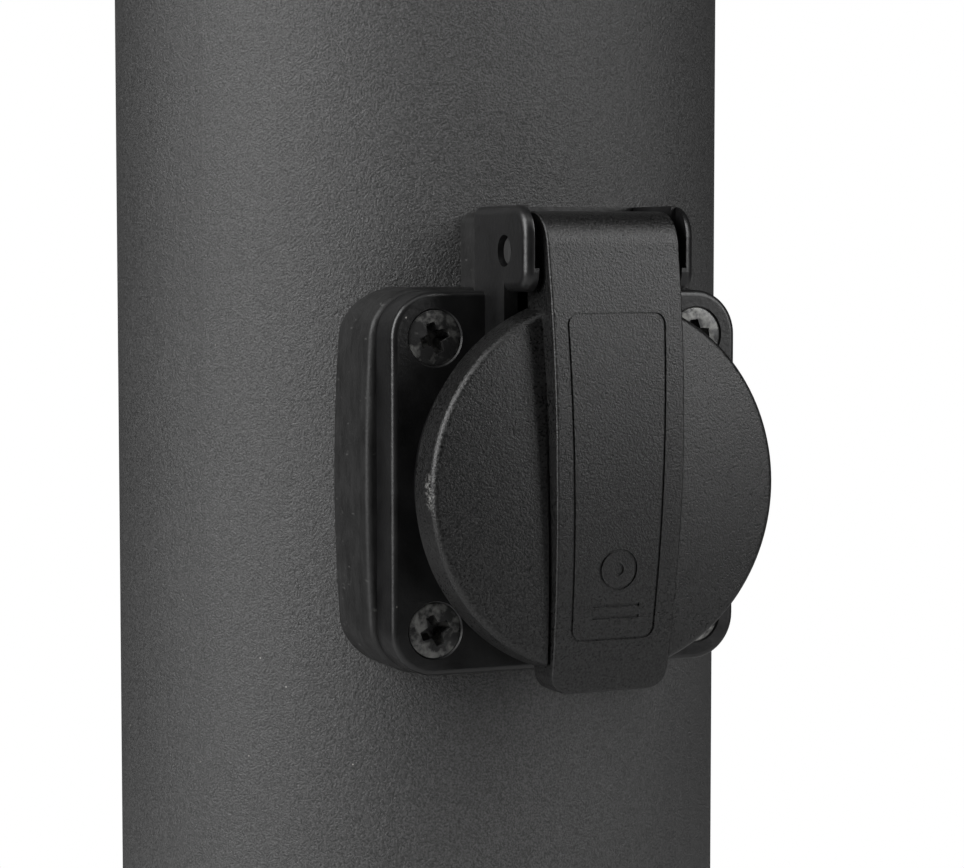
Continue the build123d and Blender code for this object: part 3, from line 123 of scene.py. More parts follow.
def set_studio():
    """A pale floor, a bright backdrop seen by the camera alone, and three softboxes."""
    floor_radius = 1.9
    backdrop, fill_light = 1.0, 0.03
    bpy.ops.mesh.primitive_circle_add(vertices=96, radius=floor_radius, fill_type="NGON")
    floor = bpy.context.object
    floor.name = "floor"
    floor.data.materials.append(floor_paint())

    world = bpy.data.worlds.new("studio")
    bpy.context.scene.world = world
    world.use_nodes = True
    nodes, links = world.node_tree.nodes, world.node_tree.links
    nodes.clear()
    seen, fill = (nodes.new("ShaderNodeBackground") for _ in range(2))
    for background, strength in ((seen, backdrop), (fill, fill_light)):
        background.inputs["Color"].default_value = (1, 1, 1, 1)
        background.inputs["Strength"].default_value = strength
    ray = nodes.new("ShaderNodeLightPath")
    mix = nodes.new("ShaderNodeMixShader")
    out = nodes.new("ShaderNodeOutputWorld")
    links.new(ray.outputs["Is Camera Ray"], mix.inputs[0])
    links.new(fill.outputs[0], mix.inputs[1])
    links.new(seen.outputs[0], mix.inputs[2])
    links.new(mix.outputs[0], out.inputs["Surface"])

    middle = (0, 0, socket_z)
    softbox("left_softbox", (-1.5, -0.15, socket_z + 0.70), middle, 0.9, 1.7, 38)
    softbox("right_softbox", (0.95, -1.15, socket_z + 0.75), middle, 0.6, 1.6, 20)
    softbox("top_softbox", (-0.3, -0.8, socket_z + 1.5), middle, 1.2, 0.8, 4)
    bpy.context.scene.view_settings.view_transform = "Standard"


# ---------------------------------------------------------------------------------------
# Bench tools
# ---------------------------------------------------------------------------------------
def at(across, depth, rise):
    """A point to the right of, in front of and above the socket's centre on the post's axis."""
    return Vector((across, -depth, socket_z + rise))


def take(piece):
    """Leaves this piece alone selected."""
    bpy.ops.object.select_all(action="DESELECT")
    piece.select_set(True)
    bpy.context.view_layer.objects.active = piece


def edit(piece):
    """Opens this piece alone in edit mode, with nothing of it selected."""
    take(piece)
    bpy.ops.object.mode_set(mode="EDIT")
    bpy.ops.mesh.select_all(action="DESELECT")


def pick(piece, test):
    """In edit mode, selects the vertices whose place passes the test."""
    bpy.ops.mesh.select_mode(type="VERT")
    bpy.ops.mesh.select_all(action="DESELECT")
    mesh = bmesh.from_edit_mesh(piece.data)
    for vertex in mesh.verts:
        vertex.select = test(vertex.co)
    mesh.select_flush(True)
    bmesh.update_edit_mesh(piece.data)


def finish_edit(piece):
    """Merges doubles, turns all faces outwards and puts the piece's place in its mesh."""
    merge = 0.0005 * MM
    bpy.ops.mesh.select_all(action="SELECT")
    bpy.ops.mesh.remove_doubles(threshold=merge)
    bpy.ops.mesh.normals_make_consistent(inside=False)
    bpy.ops.object.mode_set(mode="OBJECT")
    take(piece)
    bpy.ops.object.transform_apply(location=True, rotation=True, scale=True)


def drawn(name, points):
    """A wire through the points, one vertex drawn out of the last."""
    bpy.ops.object.select_all(action="DESELECT")
    bpy.ops.mesh.primitive_plane_add(size=MM, location=points[0])
    piece = bpy.context.object
    piece.name = name
    bpy.ops.object.mode_set(mode="EDIT")
    bpy.ops.mesh.select_all(action="SELECT")
    bpy.ops.mesh.merge(type="CENTER")
    for here, there in zip(points, points[1:]):
        bpy.ops.mesh.extrude_region_move(TRANSFORM_OT_translate={"value": there - here})
    return piece


def plate(name, points, thickness):
    """A flat outline closed to a face and drawn out to a thickness, given as a vector."""
    piece = drawn(name, points)
    bpy.ops.mesh.select_all(action="SELECT")
    bpy.ops.mesh.edge_face_add()
    bpy.ops.mesh.extrude_region_move(TRANSFORM_OT_translate={"value": thickness})
    finish_edit(piece)
    return piece


def turned(name, profile, centre, steps):
    """A closed round piece from its (radius, depth) profile, turned about an axis along Y."""
    piece = drawn(name, [Vector((centre.x + radius, -depth, centre.z)) for radius, depth in profile])
    bpy.ops.mesh.select_all(action="SELECT")
    bpy.ops.mesh.spin(steps=steps, angle=2 * pi, center=centre, axis=(0, 1, 0))
    finish_edit(piece)
    return piece


def join_or_cut(piece, other, operation):
    """Joins, cuts or crosses a piece with another, which is used up."""
    modifier = piece.modifiers.new("shape", "BOOLEAN")
    modifier.operation = operation
    modifier.solver = "EXACT"
    modifier.object = other
    take(piece)
    bpy.ops.object.modifier_apply(modifier=modifier.name)
    bpy.data.objects.remove(other, do_unlink=True)


def round_edges(piece, width):
    """Rounds every edge sharper than 50 degrees."""
    modifier = piece.modifiers.new("edges", "BEVEL")
    modifier.width = width
    modifier.segments = 3
    modifier.limit_method = "ANGLE"
    modifier.angle_limit = radians(50)
    take(piece)
    bpy.ops.object.modifier_apply(modifier=modifier.name)


def smooth(piece, angle=32):
    """Smooth shading that stays sharp at edges beyond an angle in degrees."""
    take(piece)
    bpy.ops.object.shade_smooth_by_angle(angle=radians(angle))
    modifier = piece.modifiers.new("normals", "WEIGHTED_NORMAL")
    modifier.keep_sharp = True
    bpy.ops.object.modifier_apply(modifier=modifier.name)


def hand_over(piece, material, body, slot, *nodes):
    """Gives a finished piece its material, its body and the CAD nodes that it stands for."""
    piece.data.materials.clear()
    piece.data.materials.append(material)
    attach(piece, body)
    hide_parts(*nodes)


def cylinder_along_x(radius, centre, length, vertices):
    """A cylinder whose axis runs from side to side through its centre."""
    bpy.ops.object.select_all(action="DESELECT")
    bpy.ops.mesh.primitive_cylinder_add(
        vertices=vertices, radius=radius, depth=length, location=centre, rotation=(0, pi / 2, 0)
    )
    take(bpy.context.object)
    bpy.ops.object.transform_apply(location=True, rotation=True, scale=True)
    return bpy.context.object


def arc(centre, radius, start, end, steps):
    """Points of an arc as pairs; angles in radians from the second axis to the first."""
    angles = [start + (end - start) * step / steps for step in range(steps + 1)]
    return [(centre[0] + radius * sin(a), centre[1] + radius * cos(a)) for a in angles]


# ---------------------------------------------------------------------------------------
# Lid: domed cup, bowed strap with its knuckle, grooves and marking
# ---------------------------------------------------------------------------------------
def bow_depth(rise, inset=0.0):
    """Depth of the strap's front at a height."""
    reach = strap_radius - inset
    return strap_crown - strap_radius + sqrt(reach ** 2 - (rise - strap_crown_rise) ** 2)


def lid_cup():
    """The round cup: domed face, rounded edge, drafted wall, rim and flat ceiling."""
    face_centre = face_crown - face_radius
    # The edge's arc touches both the dome and the wall; a few rounds settle its centre
    centre_radius = face_side - face_edge
    for _ in range(6):
        centre_depth = face_centre + sqrt((face_radius - face_edge) ** 2 - centre_radius ** 2)
        centre_radius = face_side + (face_crown - centre_depth) * tan(draft) - face_edge / cos(draft)
    turn = asin(centre_radius / (face_radius - face_edge))
    face = arc((0, face_centre), face_radius, 0, turn, 26)
    edge = arc((centre_radius, centre_depth), face_edge, turn, pi / 2 - draft, 8)
    rim = [
        (rim_radius, rim_depth + rim_round),
        (rim_radius - rim_round * 0.3, rim_depth + rim_round * 0.3),
        (rim_radius - rim_round, rim_depth),
        (bore_radius + rim_round, rim_depth),
        (bore_radius, rim_depth + rim_round),
        (bore_radius, ceiling - rim_round),
        (bore_radius - rim_round, ceiling),
        (0, ceiling),
    ]
    cup = turned("lid_shell", face + edge[1:] + rim, Vector((0, 0, socket_z)), round_steps)
    edit(cup)
    front = rim_depth + (face_crown - rim_depth) / 2
    pick(cup, lambda place: -place.y > front)
    bpy.ops.transform.rotate(value=face_tilt, orient_axis="X", center_override=at(0, front, 0))
    bpy.ops.object.mode_set(mode="OBJECT")
    return cup


def strap_outline():
    """Front view of the strap: slightly waisted, with rounded lower corners."""
    start = rim_depth - knuckle_radius * 3
    draw = Vector((0, -40 * MM, 0))
    right = [at(half, start, rise) for rise, half in strap_halves]
    left = [at(-half, start, rise) for rise, half in reversed(strap_halves)]
    outline = drawn("strap_outline", right + left)
    bpy.ops.mesh.select_all(action="SELECT")
    bpy.ops.mesh.edge_face_add()
    bottom_z = socket_z + strap_bottom - outline.location.z
    pick(outline, lambda place: abs(place.z - bottom_z) < 0.01 * MM)
    bpy.ops.mesh.bevel(offset=strap_corner, segments=8, affect="VERTICES")
    bpy.ops.mesh.select_all(action="SELECT")
    bpy.ops.mesh.extrude_region_move(TRANSFORM_OT_translate={"value": draw})
    finish_edit(outline)
    return outline


def lid_strap():
    """The strap: a side view drawn out sideways, crossed with its front view."""
    nose_centre = bow_depth(pin_rise) - knuckle_radius
    rows = 44
    bow = [strap_bottom + (pin_rise - strap_bottom) * row / rows for row in range(rows + 1)]
    side = [(bow_depth(rise), rise) for rise in bow]
    side += [(d, r) for r, d in arc((pin_rise, nose_centre), knuckle_radius, 0, pi / 2, 10)][1:]
    side += [(d, r) for r, d in arc((pin_rise, pin_depth), knuckle_radius, pi / 2, 3 * pi / 2, 20)]
    back = rim_depth + rim_round
    side += [(back, pin_rise - knuckle_radius), (back, strap_bottom)]
    width = 24 * MM
    strap = plate("strap", [at(-width / 2, depth, rise) for depth, rise in side], Vector((width, 0, 0)))
    join_or_cut(strap, strap_outline(), "INTERSECT")
    round_edges(strap, strap_edge)
    return strap


def hinge_clearance(strap):
    """Bore for the pin and the slot in which the spring's coil sits."""
    pin_bore, bore_length = 2.08 * MM, 30 * MM
    slot_radius, slot_width = knuckle_radius - 0.8 * MM, 10 * MM
    join_or_cut(strap, cylinder_along_x(pin_bore, pin, bore_length, 48), "DIFFERENCE")
    join_or_cut(strap, cylinder_along_x(slot_radius, pin, slot_width, 48), "DIFFERENCE")
    bpy.ops.object.select_all(action="DESELECT")
    bpy.ops.mesh.primitive_cube_add(size=1, location=(0, pin.y + slot_radius, pin.z))
    opening = bpy.context.object
    opening.scale = (slot_width, 2 * slot_radius, 4 * slot_radius)
    take(opening)
    bpy.ops.object.transform_apply(location=True, rotation=True, scale=True)
    join_or_cut(strap, opening, "DIFFERENCE")


def strap_grooves(shell):
    """A fine groove in the lid's face along each side of the strap."""
    width, depth = 0.4 * MM, 0.45 * MM
    overlap = 0.2 * MM
    beside = 9 * MM
    past_face = 3 * MM
    floor_radius = sqrt(face_radius ** 2 - beside ** 2) - depth
    for side in (1, -1):
        inner = [at(side * (half - overlap), ceiling, rise) for rise, half in strap_halves]
        outer = [at(side * (half + width), ceiling, rise) for rise, half in reversed(strap_halves)]
        fence = plate("groove", inner + outer, Vector((0, ceiling - face_crown - past_face, 0)))
        centre = at(0, face_crown - face_radius, face_radius * sin(face_tilt))
        join_or_cut(fence, cylinder_along_x(floor_radius, centre, 60 * MM, 720), "DIFFERENCE")
        join_or_cut(shell, fence, "DIFFERENCE")


def engrave(shell, mark, depth):
    """Cuts a mark, drawn out through the strap's front, to an even depth below the bow."""
    centre = at(0, strap_crown - strap_radius, strap_crown_rise)
    join_or_cut(mark, cylinder_along_x(strap_radius - depth, centre, 60 * MM, 720), "DIFFERENCE")
    join_or_cut(shell, mark, "DIFFERENCE")


def framed(name, points, line, corner=0.0):
    """A closed line of even width, drawn out so that it stands through the strap's front."""
    outline = drawn(name, points)
    bpy.ops.mesh.select_all(action="SELECT")
    bpy.ops.mesh.edge_face_add()
    if corner:
        bpy.ops.mesh.bevel(offset=corner, segments=8, affect="VERTICES")
        bpy.ops.mesh.select_all(action="SELECT")
    bpy.ops.mesh.inset(thickness=line, depth=0)
    bpy.ops.mesh.delete(type="FACE")
    bpy.ops.mesh.select_all(action="SELECT")
    bpy.ops.mesh.extrude_region_move(TRANSFORM_OT_translate={"value": mark_draw})
    finish_edit(outline)
    return outline


def round_points(radius, start, rise, steps):
    """Points of a circle about the strap's middle line, at one depth."""
    return [at(across, start, rise + up) for across, up in arc((0, 0), radius, 0, 2 * pi, steps)[:-1]]


def mark_strap(shell):
    """Engraves the panel's outline, a plain ring with a dot, and two short bars."""
    start = strap_crown - 5 * MM
    cut = 0.22 * MM

    top, bottom = 22.4 * MM, -19.5 * MM
    wide, narrow = 7.0 * MM, 5.9 * MM
    aside = -0.3 * MM
    panel_line, panel_corner = 0.32 * MM, 1.5 * MM
    panel = [at(aside - narrow, start, bottom), at(aside + narrow, start, bottom),
             at(aside + wide, start, top), at(aside - wide, start, top)]
    engrave(shell, framed("panel", panel, panel_line, panel_corner), cut)

    ring_rise, ring_radius, ring_line, dot_radius = -10.3 * MM, 2.7 * MM, 0.34 * MM, 0.8 * MM
    engrave(shell, framed("ring", round_points(ring_radius, start, ring_rise, 48), ring_line), cut)
    engrave(shell, plate("dot", round_points(dot_radius, start, ring_rise, 24), mark_draw), cut)

    bar_half, bar_height = 3.3 * MM, 0.45 * MM
    for rise in (-15.2 * MM, -16.7 * MM):
        top_rise = rise + bar_height
        corners = ((-bar_half, rise), (bar_half, rise), (bar_half, top_rise), (-bar_half, top_rise))
        bar = [at(across, start, up) for across, up in corners]
        engrave(shell, plate("bar", bar, mark_draw), cut)


def make_lid(material):
    """The cup and the strap joined to one shell, which swings on the pin."""
    shell = lid_cup()
    strap = lid_strap()
    start, wall, end = rim_depth - 4 * MM, bore_radius + 0.5 * MM, ceiling + 0.4 * MM
    hollow = [(0, start), (wall, start), (wall, end), (0, end)]
    join_or_cut(strap, turned("hollow", hollow, Vector((0, 0, socket_z)), round_steps), "DIFFERENCE")
    hinge_clearance(strap)
    strap_grooves(shell)
    join_or_cut(shell, strap, "UNION")
    mark_strap(shell)
    smooth(shell)
    hand_over(shell, material, "lid", "lid_plastic", "lid")


# ---------------------------------------------------------------------------------------
# Flange screws: countersunk heads with a worn cross recess
# ---------------------------------------------------------------------------------------
def cross_recess(screw, centre, head_top, turn):
    """A round pit with two crossed wedges, narrower at their ends and at the bottom."""
    arm, width, depth, pit = 4.1 * MM, 1.9 * MM, 2.3 * MM, 1.15 * MM
    pit_proud, wedge_proud = 0.12 * MM, 0.1 * MM
    bpy.ops.object.select_all(action="DESELECT")
    bpy.ops.mesh.primitive_cone_add(
        vertices=24, radius1=pit, radius2=pit * 0.6, depth=depth,
        location=(centre.x, -head_top + depth / 2 - pit_proud, centre.z), rotation=(-pi / 2, 0, 0)
    )
    middle = bpy.context.object
    take(middle)
    bpy.ops.object.transform_apply(location=False, rotation=True, scale=True)
    join_or_cut(screw, middle, "DIFFERENCE")
    for quarter in (0, pi / 2):
        bpy.ops.object.select_all(action="DESELECT")
        bpy.ops.mesh.primitive_cube_add(
            size=1, location=(centre.x, -head_top + depth / 2 - wedge_proud, centre.z)
        )
        wedge = bpy.context.object
        wedge.scale = (arm, depth, width)
        take(wedge)
        bpy.ops.object.transform_apply(location=False, rotation=False, scale=True)
        edit(wedge)
        bpy.ops.mesh.select_all(action="SELECT")
        bpy.ops.mesh.subdivide(number_cuts=1)
        pick(wedge, lambda place: abs(place.x) > arm * 0.4)
        bpy.ops.transform.resize(value=(1, 1, 0.62), center_override=wedge.location)
        pick(wedge, lambda place: place.y > depth * 0.4)
        bpy.ops.transform.resize(value=(0.55, 1, 0.5), center_override=wedge.location)
        bpy.ops.mesh.select_all(action="SELECT")
        bpy.ops.transform.rotate(value=turn + quarter, orient_axis="Y", center_override=wedge.location)
        finish_edit(wedge)
        join_or_cut(screw, wedge, "DIFFERENCE")


def make_flange_screws(material):
    """Four screws at the flange's corners; each recess has come to rest at its own turn."""
    head_radius, shank_radius = 3.7 * MM, 2.0 * MM
    top, end = -screws_low.y, -screws_high.y
    head_round, tip = 0.22 * MM, 0.5 * MM
    crown = ((0, 0), (0.55, 0.01 * MM), (0.85, 0.05 * MM))
    crown_drop = 0.1 * MM
    cone = head_radius - shank_radius
    profile = [(head_radius * share, top - drop) for share, drop in crown]
    head_edge = (head_radius - head_round, top - crown_drop - head_round)
    profile += arc(head_edge, head_round, 0, 3 * pi / 4, 5)
    profile += [(shank_radius, top - cone - head_round), (shank_radius, end + tip)]
    profile += [(shank_radius - tip, end), (0, end)]
    reach = screws_high.x - head_radius
    turns = {(-1, 1): 20, (-1, -1): 22, (1, 1): 8, (1, -1): 31}
    for number, ((side, level), turn) in enumerate(turns.items(), 1):
        centre = Vector((side * reach, 0, socket_z + level * reach))
        screw = turned(f"flange_screw_{number}", profile, centre, 56)
        cross_recess(screw, centre, top, radians(turn))
        smooth(screw, 40)
        hand_over(screw, material, "post", "black_screw", "flange_screws")


# ---------------------------------------------------------------------------------------
# Lid spring: a wound wire round the pin, one leg on the bracket's web
# ---------------------------------------------------------------------------------------
def make_spring(material):
    """Winds a wire from below the pin and draws its first end back to the web."""
    wire = 0.45 * MM
    coil = 2.15 * MM + wire
    turns, steps = 6, 32
    width = spring_high.x - spring_low.x - 2 * wire
    leg = Vector((0, spring_high.y - pin.y, 0))
    bpy.ops.object.select_all(action="DESELECT")
    bpy.ops.mesh.primitive_circle_add(
        vertices=14, radius=wire, location=(spring_low.x + wire, pin.y, pin.z), rotation=(pi / 2, 0, 0)
    )
    spring = bpy.context.object
    spring.name = "spring_coil"
    take(spring)
    bpy.ops.object.transform_apply(location=False, rotation=True, scale=True)
    edit(spring)
    bpy.ops.mesh.select_all(action="SELECT")
    bpy.ops.transform.translate(value=(0, 0, -coil))
    bpy.ops.object.mode_set(mode="OBJECT")
    winding = spring.modifiers.new("winding", "SCREW")
    winding.axis = "X"
    winding.angle = 2 * pi * turns
    winding.screw_offset = width
    winding.steps = steps * turns
    winding.render_steps = steps * turns
    take(spring)
    bpy.ops.object.modifier_apply(modifier="winding")
    edit(spring)
    pick(spring, lambda place: place.x < wire * 1.01 and abs(place.y) < 0.02 * MM and place.z < 0)
    bpy.ops.mesh.extrude_region_move(TRANSFORM_OT_translate={"value": leg})
    bpy.ops.mesh.select_all(action="SELECT")
    bpy.ops.mesh.fill_holes(sides=0)
    finish_edit(spring)
    smooth(spring, 60)
    hand_over(spring, material, "post", "spring_steel", "lid_spring")


# ---------------------------------------------------------------------------------------
# Materials
# ---------------------------------------------------------------------------------------
class Finish:
    """A material's node tree with one surface shader, and short ways to add to it."""

    def __init__(self, name, metallic=0.0, specular=0.5):
        self.material = bpy.data.materials.new(name)
        self.material.use_nodes = True
        self.nodes = self.material.node_tree.nodes
        self.links = self.material.node_tree.links
        self.shader = self.nodes["Principled BSDF"]
        self.shader.inputs["Metallic"].default_value = metallic
        self.shader.inputs["Specular IOR Level"].default_value = specular
        self.coords = self.nodes.new("ShaderNodeTexCoord").outputs["Object"]

    def noise(self, size, detail=2.0, roughness=0.5, stretch=None):
        """Cloudy noise whose blobs are about this many metres across."""
        node = self.nodes.new("ShaderNodeTexNoise")
        node.inputs["Scale"].default_value = 1 / size
        node.inputs["Detail"].default_value = detail
        node.inputs["Roughness"].default_value = roughness
        self.links.new(self.stretched(stretch), node.inputs["Vector"])
        return node.outputs["Fac"]

    def cells(self, size):
        """Distance to the nearest of many scattered points, this far apart in metres."""
        node = self.nodes.new("ShaderNodeTexVoronoi")
        node.inputs["Scale"].default_value = 1 / size
        self.links.new(self.coords, node.inputs["Vector"])
        return node.outputs["Distance"]

    def dust(self, spacing, share):
        """One on sparse tiny specks, nought elsewhere; share is a speck's width of the spacing."""
        return self.ramp(self.cells(spacing), (share * 0.6, 1.0), (share, 0.0))

    def patch(self, place, reach):
        """One at a place on the piece, fading to nought at this reach each way."""
        shift = self.nodes.new("ShaderNodeMapping")
        shift.vector_type = "TEXTURE"
        shift.inputs["Location"].default_value = place
        shift.inputs["Scale"].default_value = reach
        self.links.new(self.coords, shift.inputs["Vector"])
        length = self.nodes.new("ShaderNodeVectorMath")
        length.operation = "LENGTH"
        self.links.new(shift.outputs["Vector"], length.inputs[0])
        return self.ramp(length.outputs["Value"], (0.5, 1.0), (1.0, 0.0))

    def stretched(self, stretch):
        """The piece's own coordinates, scaled if a stretch is given."""
        if stretch is None:
            return self.coords
        node = self.nodes.new("ShaderNodeMapping")
        node.inputs["Scale"].default_value = stretch
        self.links.new(self.coords, node.inputs["Vector"])
        return node.outputs["Vector"]

    def ramp(self, value, *stops):
        """Maps a value to colours; each stop is a position and a grey or a colour."""
        node = self.nodes.new("ShaderNodeValToRGB")
        band = node.color_ramp
        while len(band.elements) < len(stops):
            band.elements.new(0.5)
        for element, (position, colour) in zip(band.elements, stops):
            element.position = position
            if not isinstance(colour, tuple):
                colour = (colour, colour, colour)
            element.color = (*colour, 1)
        self.links.new(value, node.inputs["Fac"])
        return node.outputs["Color"]

    def feed(self, socket, value):
        """Links a node's output to a socket, or sets the socket to a colour or a number."""
        if isinstance(value, bpy.types.NodeSocket):
            self.links.new(value, socket)
        elif isinstance(value, tuple):
            socket.default_value = (*value, 1)
        else:
            socket.default_value = value

    def mix(self, factor, first, second):
        """Blends two colours by a factor."""
        node = self.nodes.new("ShaderNodeMix")
        node.data_type = "RGBA"
        for socket, value in zip((0, 6, 7), (factor, first, second)):
            self.feed(node.inputs[socket], value)
        return node.outputs[2]

    def times(self, first, second):
        """Multiplies two values."""
        node = self.nodes.new("ShaderNodeMath")
        node.operation = "MULTIPLY"
        self.feed(node.inputs[0], first)
        self.feed(node.inputs[1], second)
        return node.outputs[0]

    def colour(self, value):
        self.links.new(value, self.shader.inputs["Base Color"])

    def rough(self, value):
        self.links.new(value, self.shader.inputs["Roughness"])

    def bump(self, *layers):
        """Stacks bumps; each layer is a height and its depth in metres."""
        normal = None
        for height, depth in layers:
            node = self.nodes.new("ShaderNodeBump")
            node.inputs["Distance"].default_value = depth
            self.links.new(height, node.inputs["Height"])
            if normal is not None:
                self.links.new(normal, node.inputs["Normal"])
            normal = node.outputs["Normal"]
        self.links.new(normal, self.shader.inputs["Normal"])


def floor_paint():
    """Pale, matt and faintly clouded."""
    finish = Finish("floor_paint", specular=0.2)
    cloud = finish.noise(0.6)
    finish.colour(finish.ramp(cloud, (0.3, 0.56), (0.7, 0.60)))
    finish.rough(finish.ramp(cloud, (0.3, 0.7), (0.7, 0.8)))
    return finish.material


def powder_coat(name, grey):
    """Matt powder coat with a fine, even, sandy grain, painted into the colour with strong contrast so
    that it also stands for the grain's sparkle, and a few specks of dust.
    """
    finish = Finish(name)
    grain = finish.noise(0.00028, detail=3.0, roughness=0.62)
    orange_peel = finish.noise(0.0010, detail=2.0)
    cloud = finish.noise(0.03, detail=3.0)
    # Painted highlight: the grain's tone spreads wide, from dark to light, to paint in the sparkle that
    # the grain would catch, on top of its own random tone.
    tone = finish.ramp(grain, (0.38, grey * 0.40), (0.64, grey * 1.70))
    tone = finish.mix(0.15, tone, finish.ramp(cloud, (0.35, grey * 0.85), (0.65, grey * 1.15)))
    finish.colour(finish.mix(finish.dust(0.006, 0.022), tone, (0.35, 0.34, 0.32)))
    finish.rough(finish.ramp(grain, (0.3, 0.31), (0.7, 0.41)))
    finish.bump((orange_peel, 0.00010), (grain, 0.00018))
    return finish.material


def spark_grain(name, grey):
    """Black plastic from a spark-eroded mould: fine grain with painted sparkle, scuffed at the rim."""
    finish = Finish(name)
    grain = finish.noise(0.00029, detail=3.0, roughness=0.65)
    pits = finish.noise(0.00014, detail=2.0)
    wear = finish.noise(0.012, detail=4.0)
    # Painted highlight: the grain's tone spreads very wide, so its brightest grains are painted sparkle
    # as well as the plastic's own random tone.
    tone = finish.ramp(grain, (0.42, grey * 0.08), (0.62, grey * 2.9))
    scuff_place = at(-rim_radius, rim_depth + 4.5 * MM, 0.2 * MM)
    scuff = finish.patch(scuff_place, (0.0009, 0.0018, 0.0030))
    scratches = finish.noise(0.0006, detail=5.0, roughness=0.7)
    scratches = finish.ramp(scratches, (0.50, 0.0), (0.60, 1.0))
    scuff = finish.times(scuff, scratches)
    tone = finish.mix(finish.dust(0.007, 0.022), tone, (0.40, 0.39, 0.37))
    finish.colour(finish.mix(scuff, tone, (0.22, 0.22, 0.21)))
    grain_gloss = finish.ramp(grain, (0.3, 0.24), (0.7, 0.38))
    worn_gloss = finish.ramp(wear, (0.35, 0.26), (0.65, 0.34))
    finish.rough(finish.mix(0.35, grain_gloss, worn_gloss))
    finish.bump((grain, 0.00009), (pits, 0.00002))
    return finish.material


def satin_plastic(name, colour, rough=0.30, dusty=False):
    """Smooth moulded plastic with slight flow marks, and dust where it lies outside."""
    finish = Finish(name)
    flow = finish.noise(0.006, detail=3.0)
    fine = finish.noise(0.0007, detail=3.0)
    dark = tuple(c * 0.8 for c in colour)
    pale = tuple(c * 1.2 + 0.002 for c in colour)
    tone = finish.ramp(flow, (0.35, dark), (0.65, pale))
    if dusty:
        tone = finish.mix(finish.dust(0.005, 0.03), tone, (0.30, 0.29, 0.27))
    finish.colour(tone)
    finish.rough(finish.ramp(flow, (0.3, rough - 0.05), (0.7, rough + 0.08)))
    finish.bump((fine, 0.00003))
    return finish.material


def moulded_rubber(name):
    """Black rubber with grey bloom, vertical flow streaks and a few pale scratches."""
    finish = Finish(name, specular=0.4)
    bloom = finish.noise(0.004, detail=5.0, roughness=0.65)
    streak = finish.noise(0.0014, detail=3.0, stretch=(1.0, 1.0, 0.25))
    fine = finish.noise(0.0005)
    scratch = finish.noise(0.0022, detail=4.0, stretch=(1.0, 1.0, 3.0))
    scratch = finish.ramp(scratch, (0.66, 0.0), (0.74, 1.0))
    grey = finish.ramp(bloom, (0.35, 0.005), (0.62, 0.011), (0.8, 0.024))
    grey = finish.mix(0.35, grey, finish.ramp(streak, (0.4, 0.005), (0.8, 0.035)))
    finish.colour(finish.mix(finish.times(scratch, 0.35), grey, (0.16, 0.16, 0.155)))
    finish.rough(finish.ramp(bloom, (0.3, 0.45), (0.7, 0.62)))
    finish.bump((streak, 0.00008), (fine, 0.00004))
    return finish.material


def plain_metal(name, colour, rough=0.3):
    """Bare or plated metal with a fine drawn grain and light stains."""
    finish = Finish(name, metallic=1.0)
    lines = finish.noise(0.0003, detail=3.0, stretch=(1.0, 1.0, 0.2))
    stain = finish.noise(0.004, detail=4.0)
    lined, stained = (tuple(c * share for c in colour) for share in (0.85, 0.75))
    lined_tone = finish.ramp(lines, (0.3, lined), (0.7, colour))
    stained_tone = finish.ramp(stain, (0.3, stained), (0.7, colour))
    finish.colour(finish.mix(0.4, lined_tone, stained_tone))
    finish.rough(finish.ramp(stain, (0.3, rough * 0.8), (0.7, rough * 1.25)))
    finish.bump((lines, 0.00001))
    return finish.material


def black_screw(name):
    """Blackened steel, slightly dented, with dull grey patches where the blacking has worn; the patches
    are also painted light to stand for the heads' bright glints.
    """
    finish = Finish(name, metallic=0.4)
    dents = finish.noise(0.0022, detail=1.5)
    wear = finish.noise(0.0018, detail=4.0, roughness=0.6)
    wear = finish.ramp(wear, (0.47, 0.0), (0.62, 1.0))
    # Painted highlight: where the wear mask is one, the head takes a lighter grey that paints in its
    # bright mottled glints as well as the worn blacking.
    finish.colour(finish.mix(wear, (0.045, 0.045, 0.045), (0.22, 0.22, 0.21)))
    oily_gloss = finish.ramp(dents, (0.3, 0.24), (0.7, 0.34))
    finish.rough(finish.mix(wear, oily_gloss, (0.46, 0.46, 0.46)))
    finish.bump((dents, 0.00014))
    return finish.material


def dress(material, *names):
    """Gives CAD nodes their finish."""
    for name in names:
        for slot in frame["nodes"][name].material_slots:
            slot.material = material


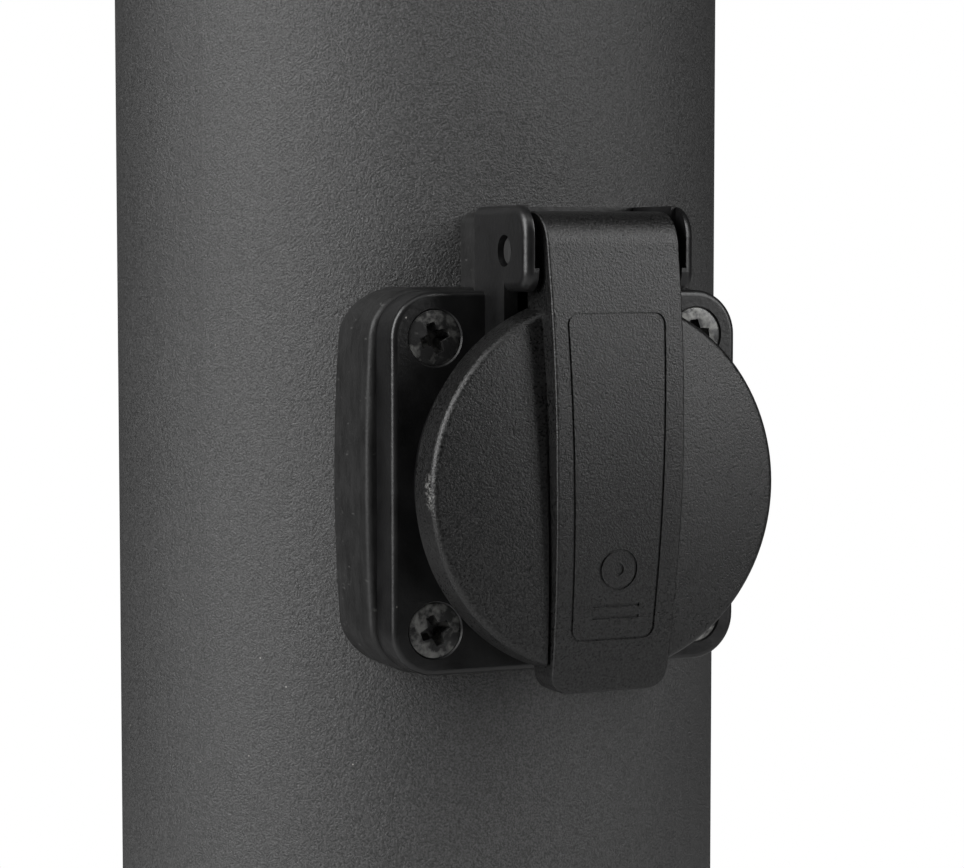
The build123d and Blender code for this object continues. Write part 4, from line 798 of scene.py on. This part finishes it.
def dress_nodes():
    """Each CAD node's finish, from the outside of the post to the inside."""
    dress(powder_coat("post_powder_coat", 0.046), "post_tube", "rear_cover")
    dress(powder_coat("foot_powder_coat", 0.045), "foot_plate", "spigot", "top_cap")
    dress(satin_plastic("socket_black", (0.005, 0.005, 0.0052), 0.33, dusty=True), "socket_housing")
    dress(satin_plastic("insert_black", (0.022, 0.022, 0.022), 0.45), "socket_insert", "contact_carrier",
          "socket_back_cover")
    dress(satin_plastic("gland_black", (0.03, 0.03, 0.031), 0.5), "gland_body", "gland_locknut",
          "gland_dome_nut")
    dress(satin_plastic("breaker_grey", (0.55, 0.55, 0.53), 0.5), "rcbo_case")
    dress(satin_plastic("lever_blue", (0.02, 0.04, 0.12), 0.4), "rcbo_lever")
    dress(satin_plastic("button_yellow", (0.70, 0.48, 0.05), 0.4), "rcbo_test_button")
    dress(satin_plastic("earth_green", (0.16, 0.36, 0.08), 0.5), "earth_terminal")
    dress(satin_plastic("shutter_grey", (0.40, 0.40, 0.38), 0.5), "shutter")
    dress(satin_plastic("wire_brown", (0.12, 0.05, 0.02), 0.5), "wire_live")
    dress(satin_plastic("wire_blue", (0.02, 0.08, 0.32), 0.5), "wire_neutral")
    dress(satin_plastic("wire_green", (0.18, 0.42, 0.05), 0.5), "wire_earth", "wire_bond")
    dress(moulded_rubber("saddle_rubber"), "saddle_gasket")
    dress(moulded_rubber("seal_rubber"), "top_cap_seal", "rear_cover_seal", "gland_grommet", "lid_seal")
    dress(plain_metal("stainless", (0.60, 0.59, 0.57), 0.3), "base_screws", "cap_screws",
          "rear_cover_screws", "gland_plate_screws")
    dress(plain_metal("zinc_steel", (0.62, 0.64, 0.66), 0.35), "cover_frame", "gland_plate",
          "chassis_plate", "din_rail", "rail_screws", "nut_plate", "rcbo_terminal_screws",
          "back_cover_screws")
    dress(plain_metal("plain_brass", (0.72, 0.55, 0.25), 0.3), "earth_stud", "earth_nuts",
          "live_contact", "neutral_contact")
    dress(plain_metal("tinned_copper", (0.68, 0.67, 0.63), 0.35), "bond_lug", "earth_clip")
    dress(satin_plastic("pin_black", (0.03, 0.03, 0.03), 0.4), "hinge_pin")


set_camera()
set_studio()
dress_nodes()
make_lid(spark_grain("lid_grain", 0.006))
make_flange_screws(black_screw("black_screw"))
make_spring(plain_metal("spring_steel", (0.35, 0.35, 0.35), 0.3))
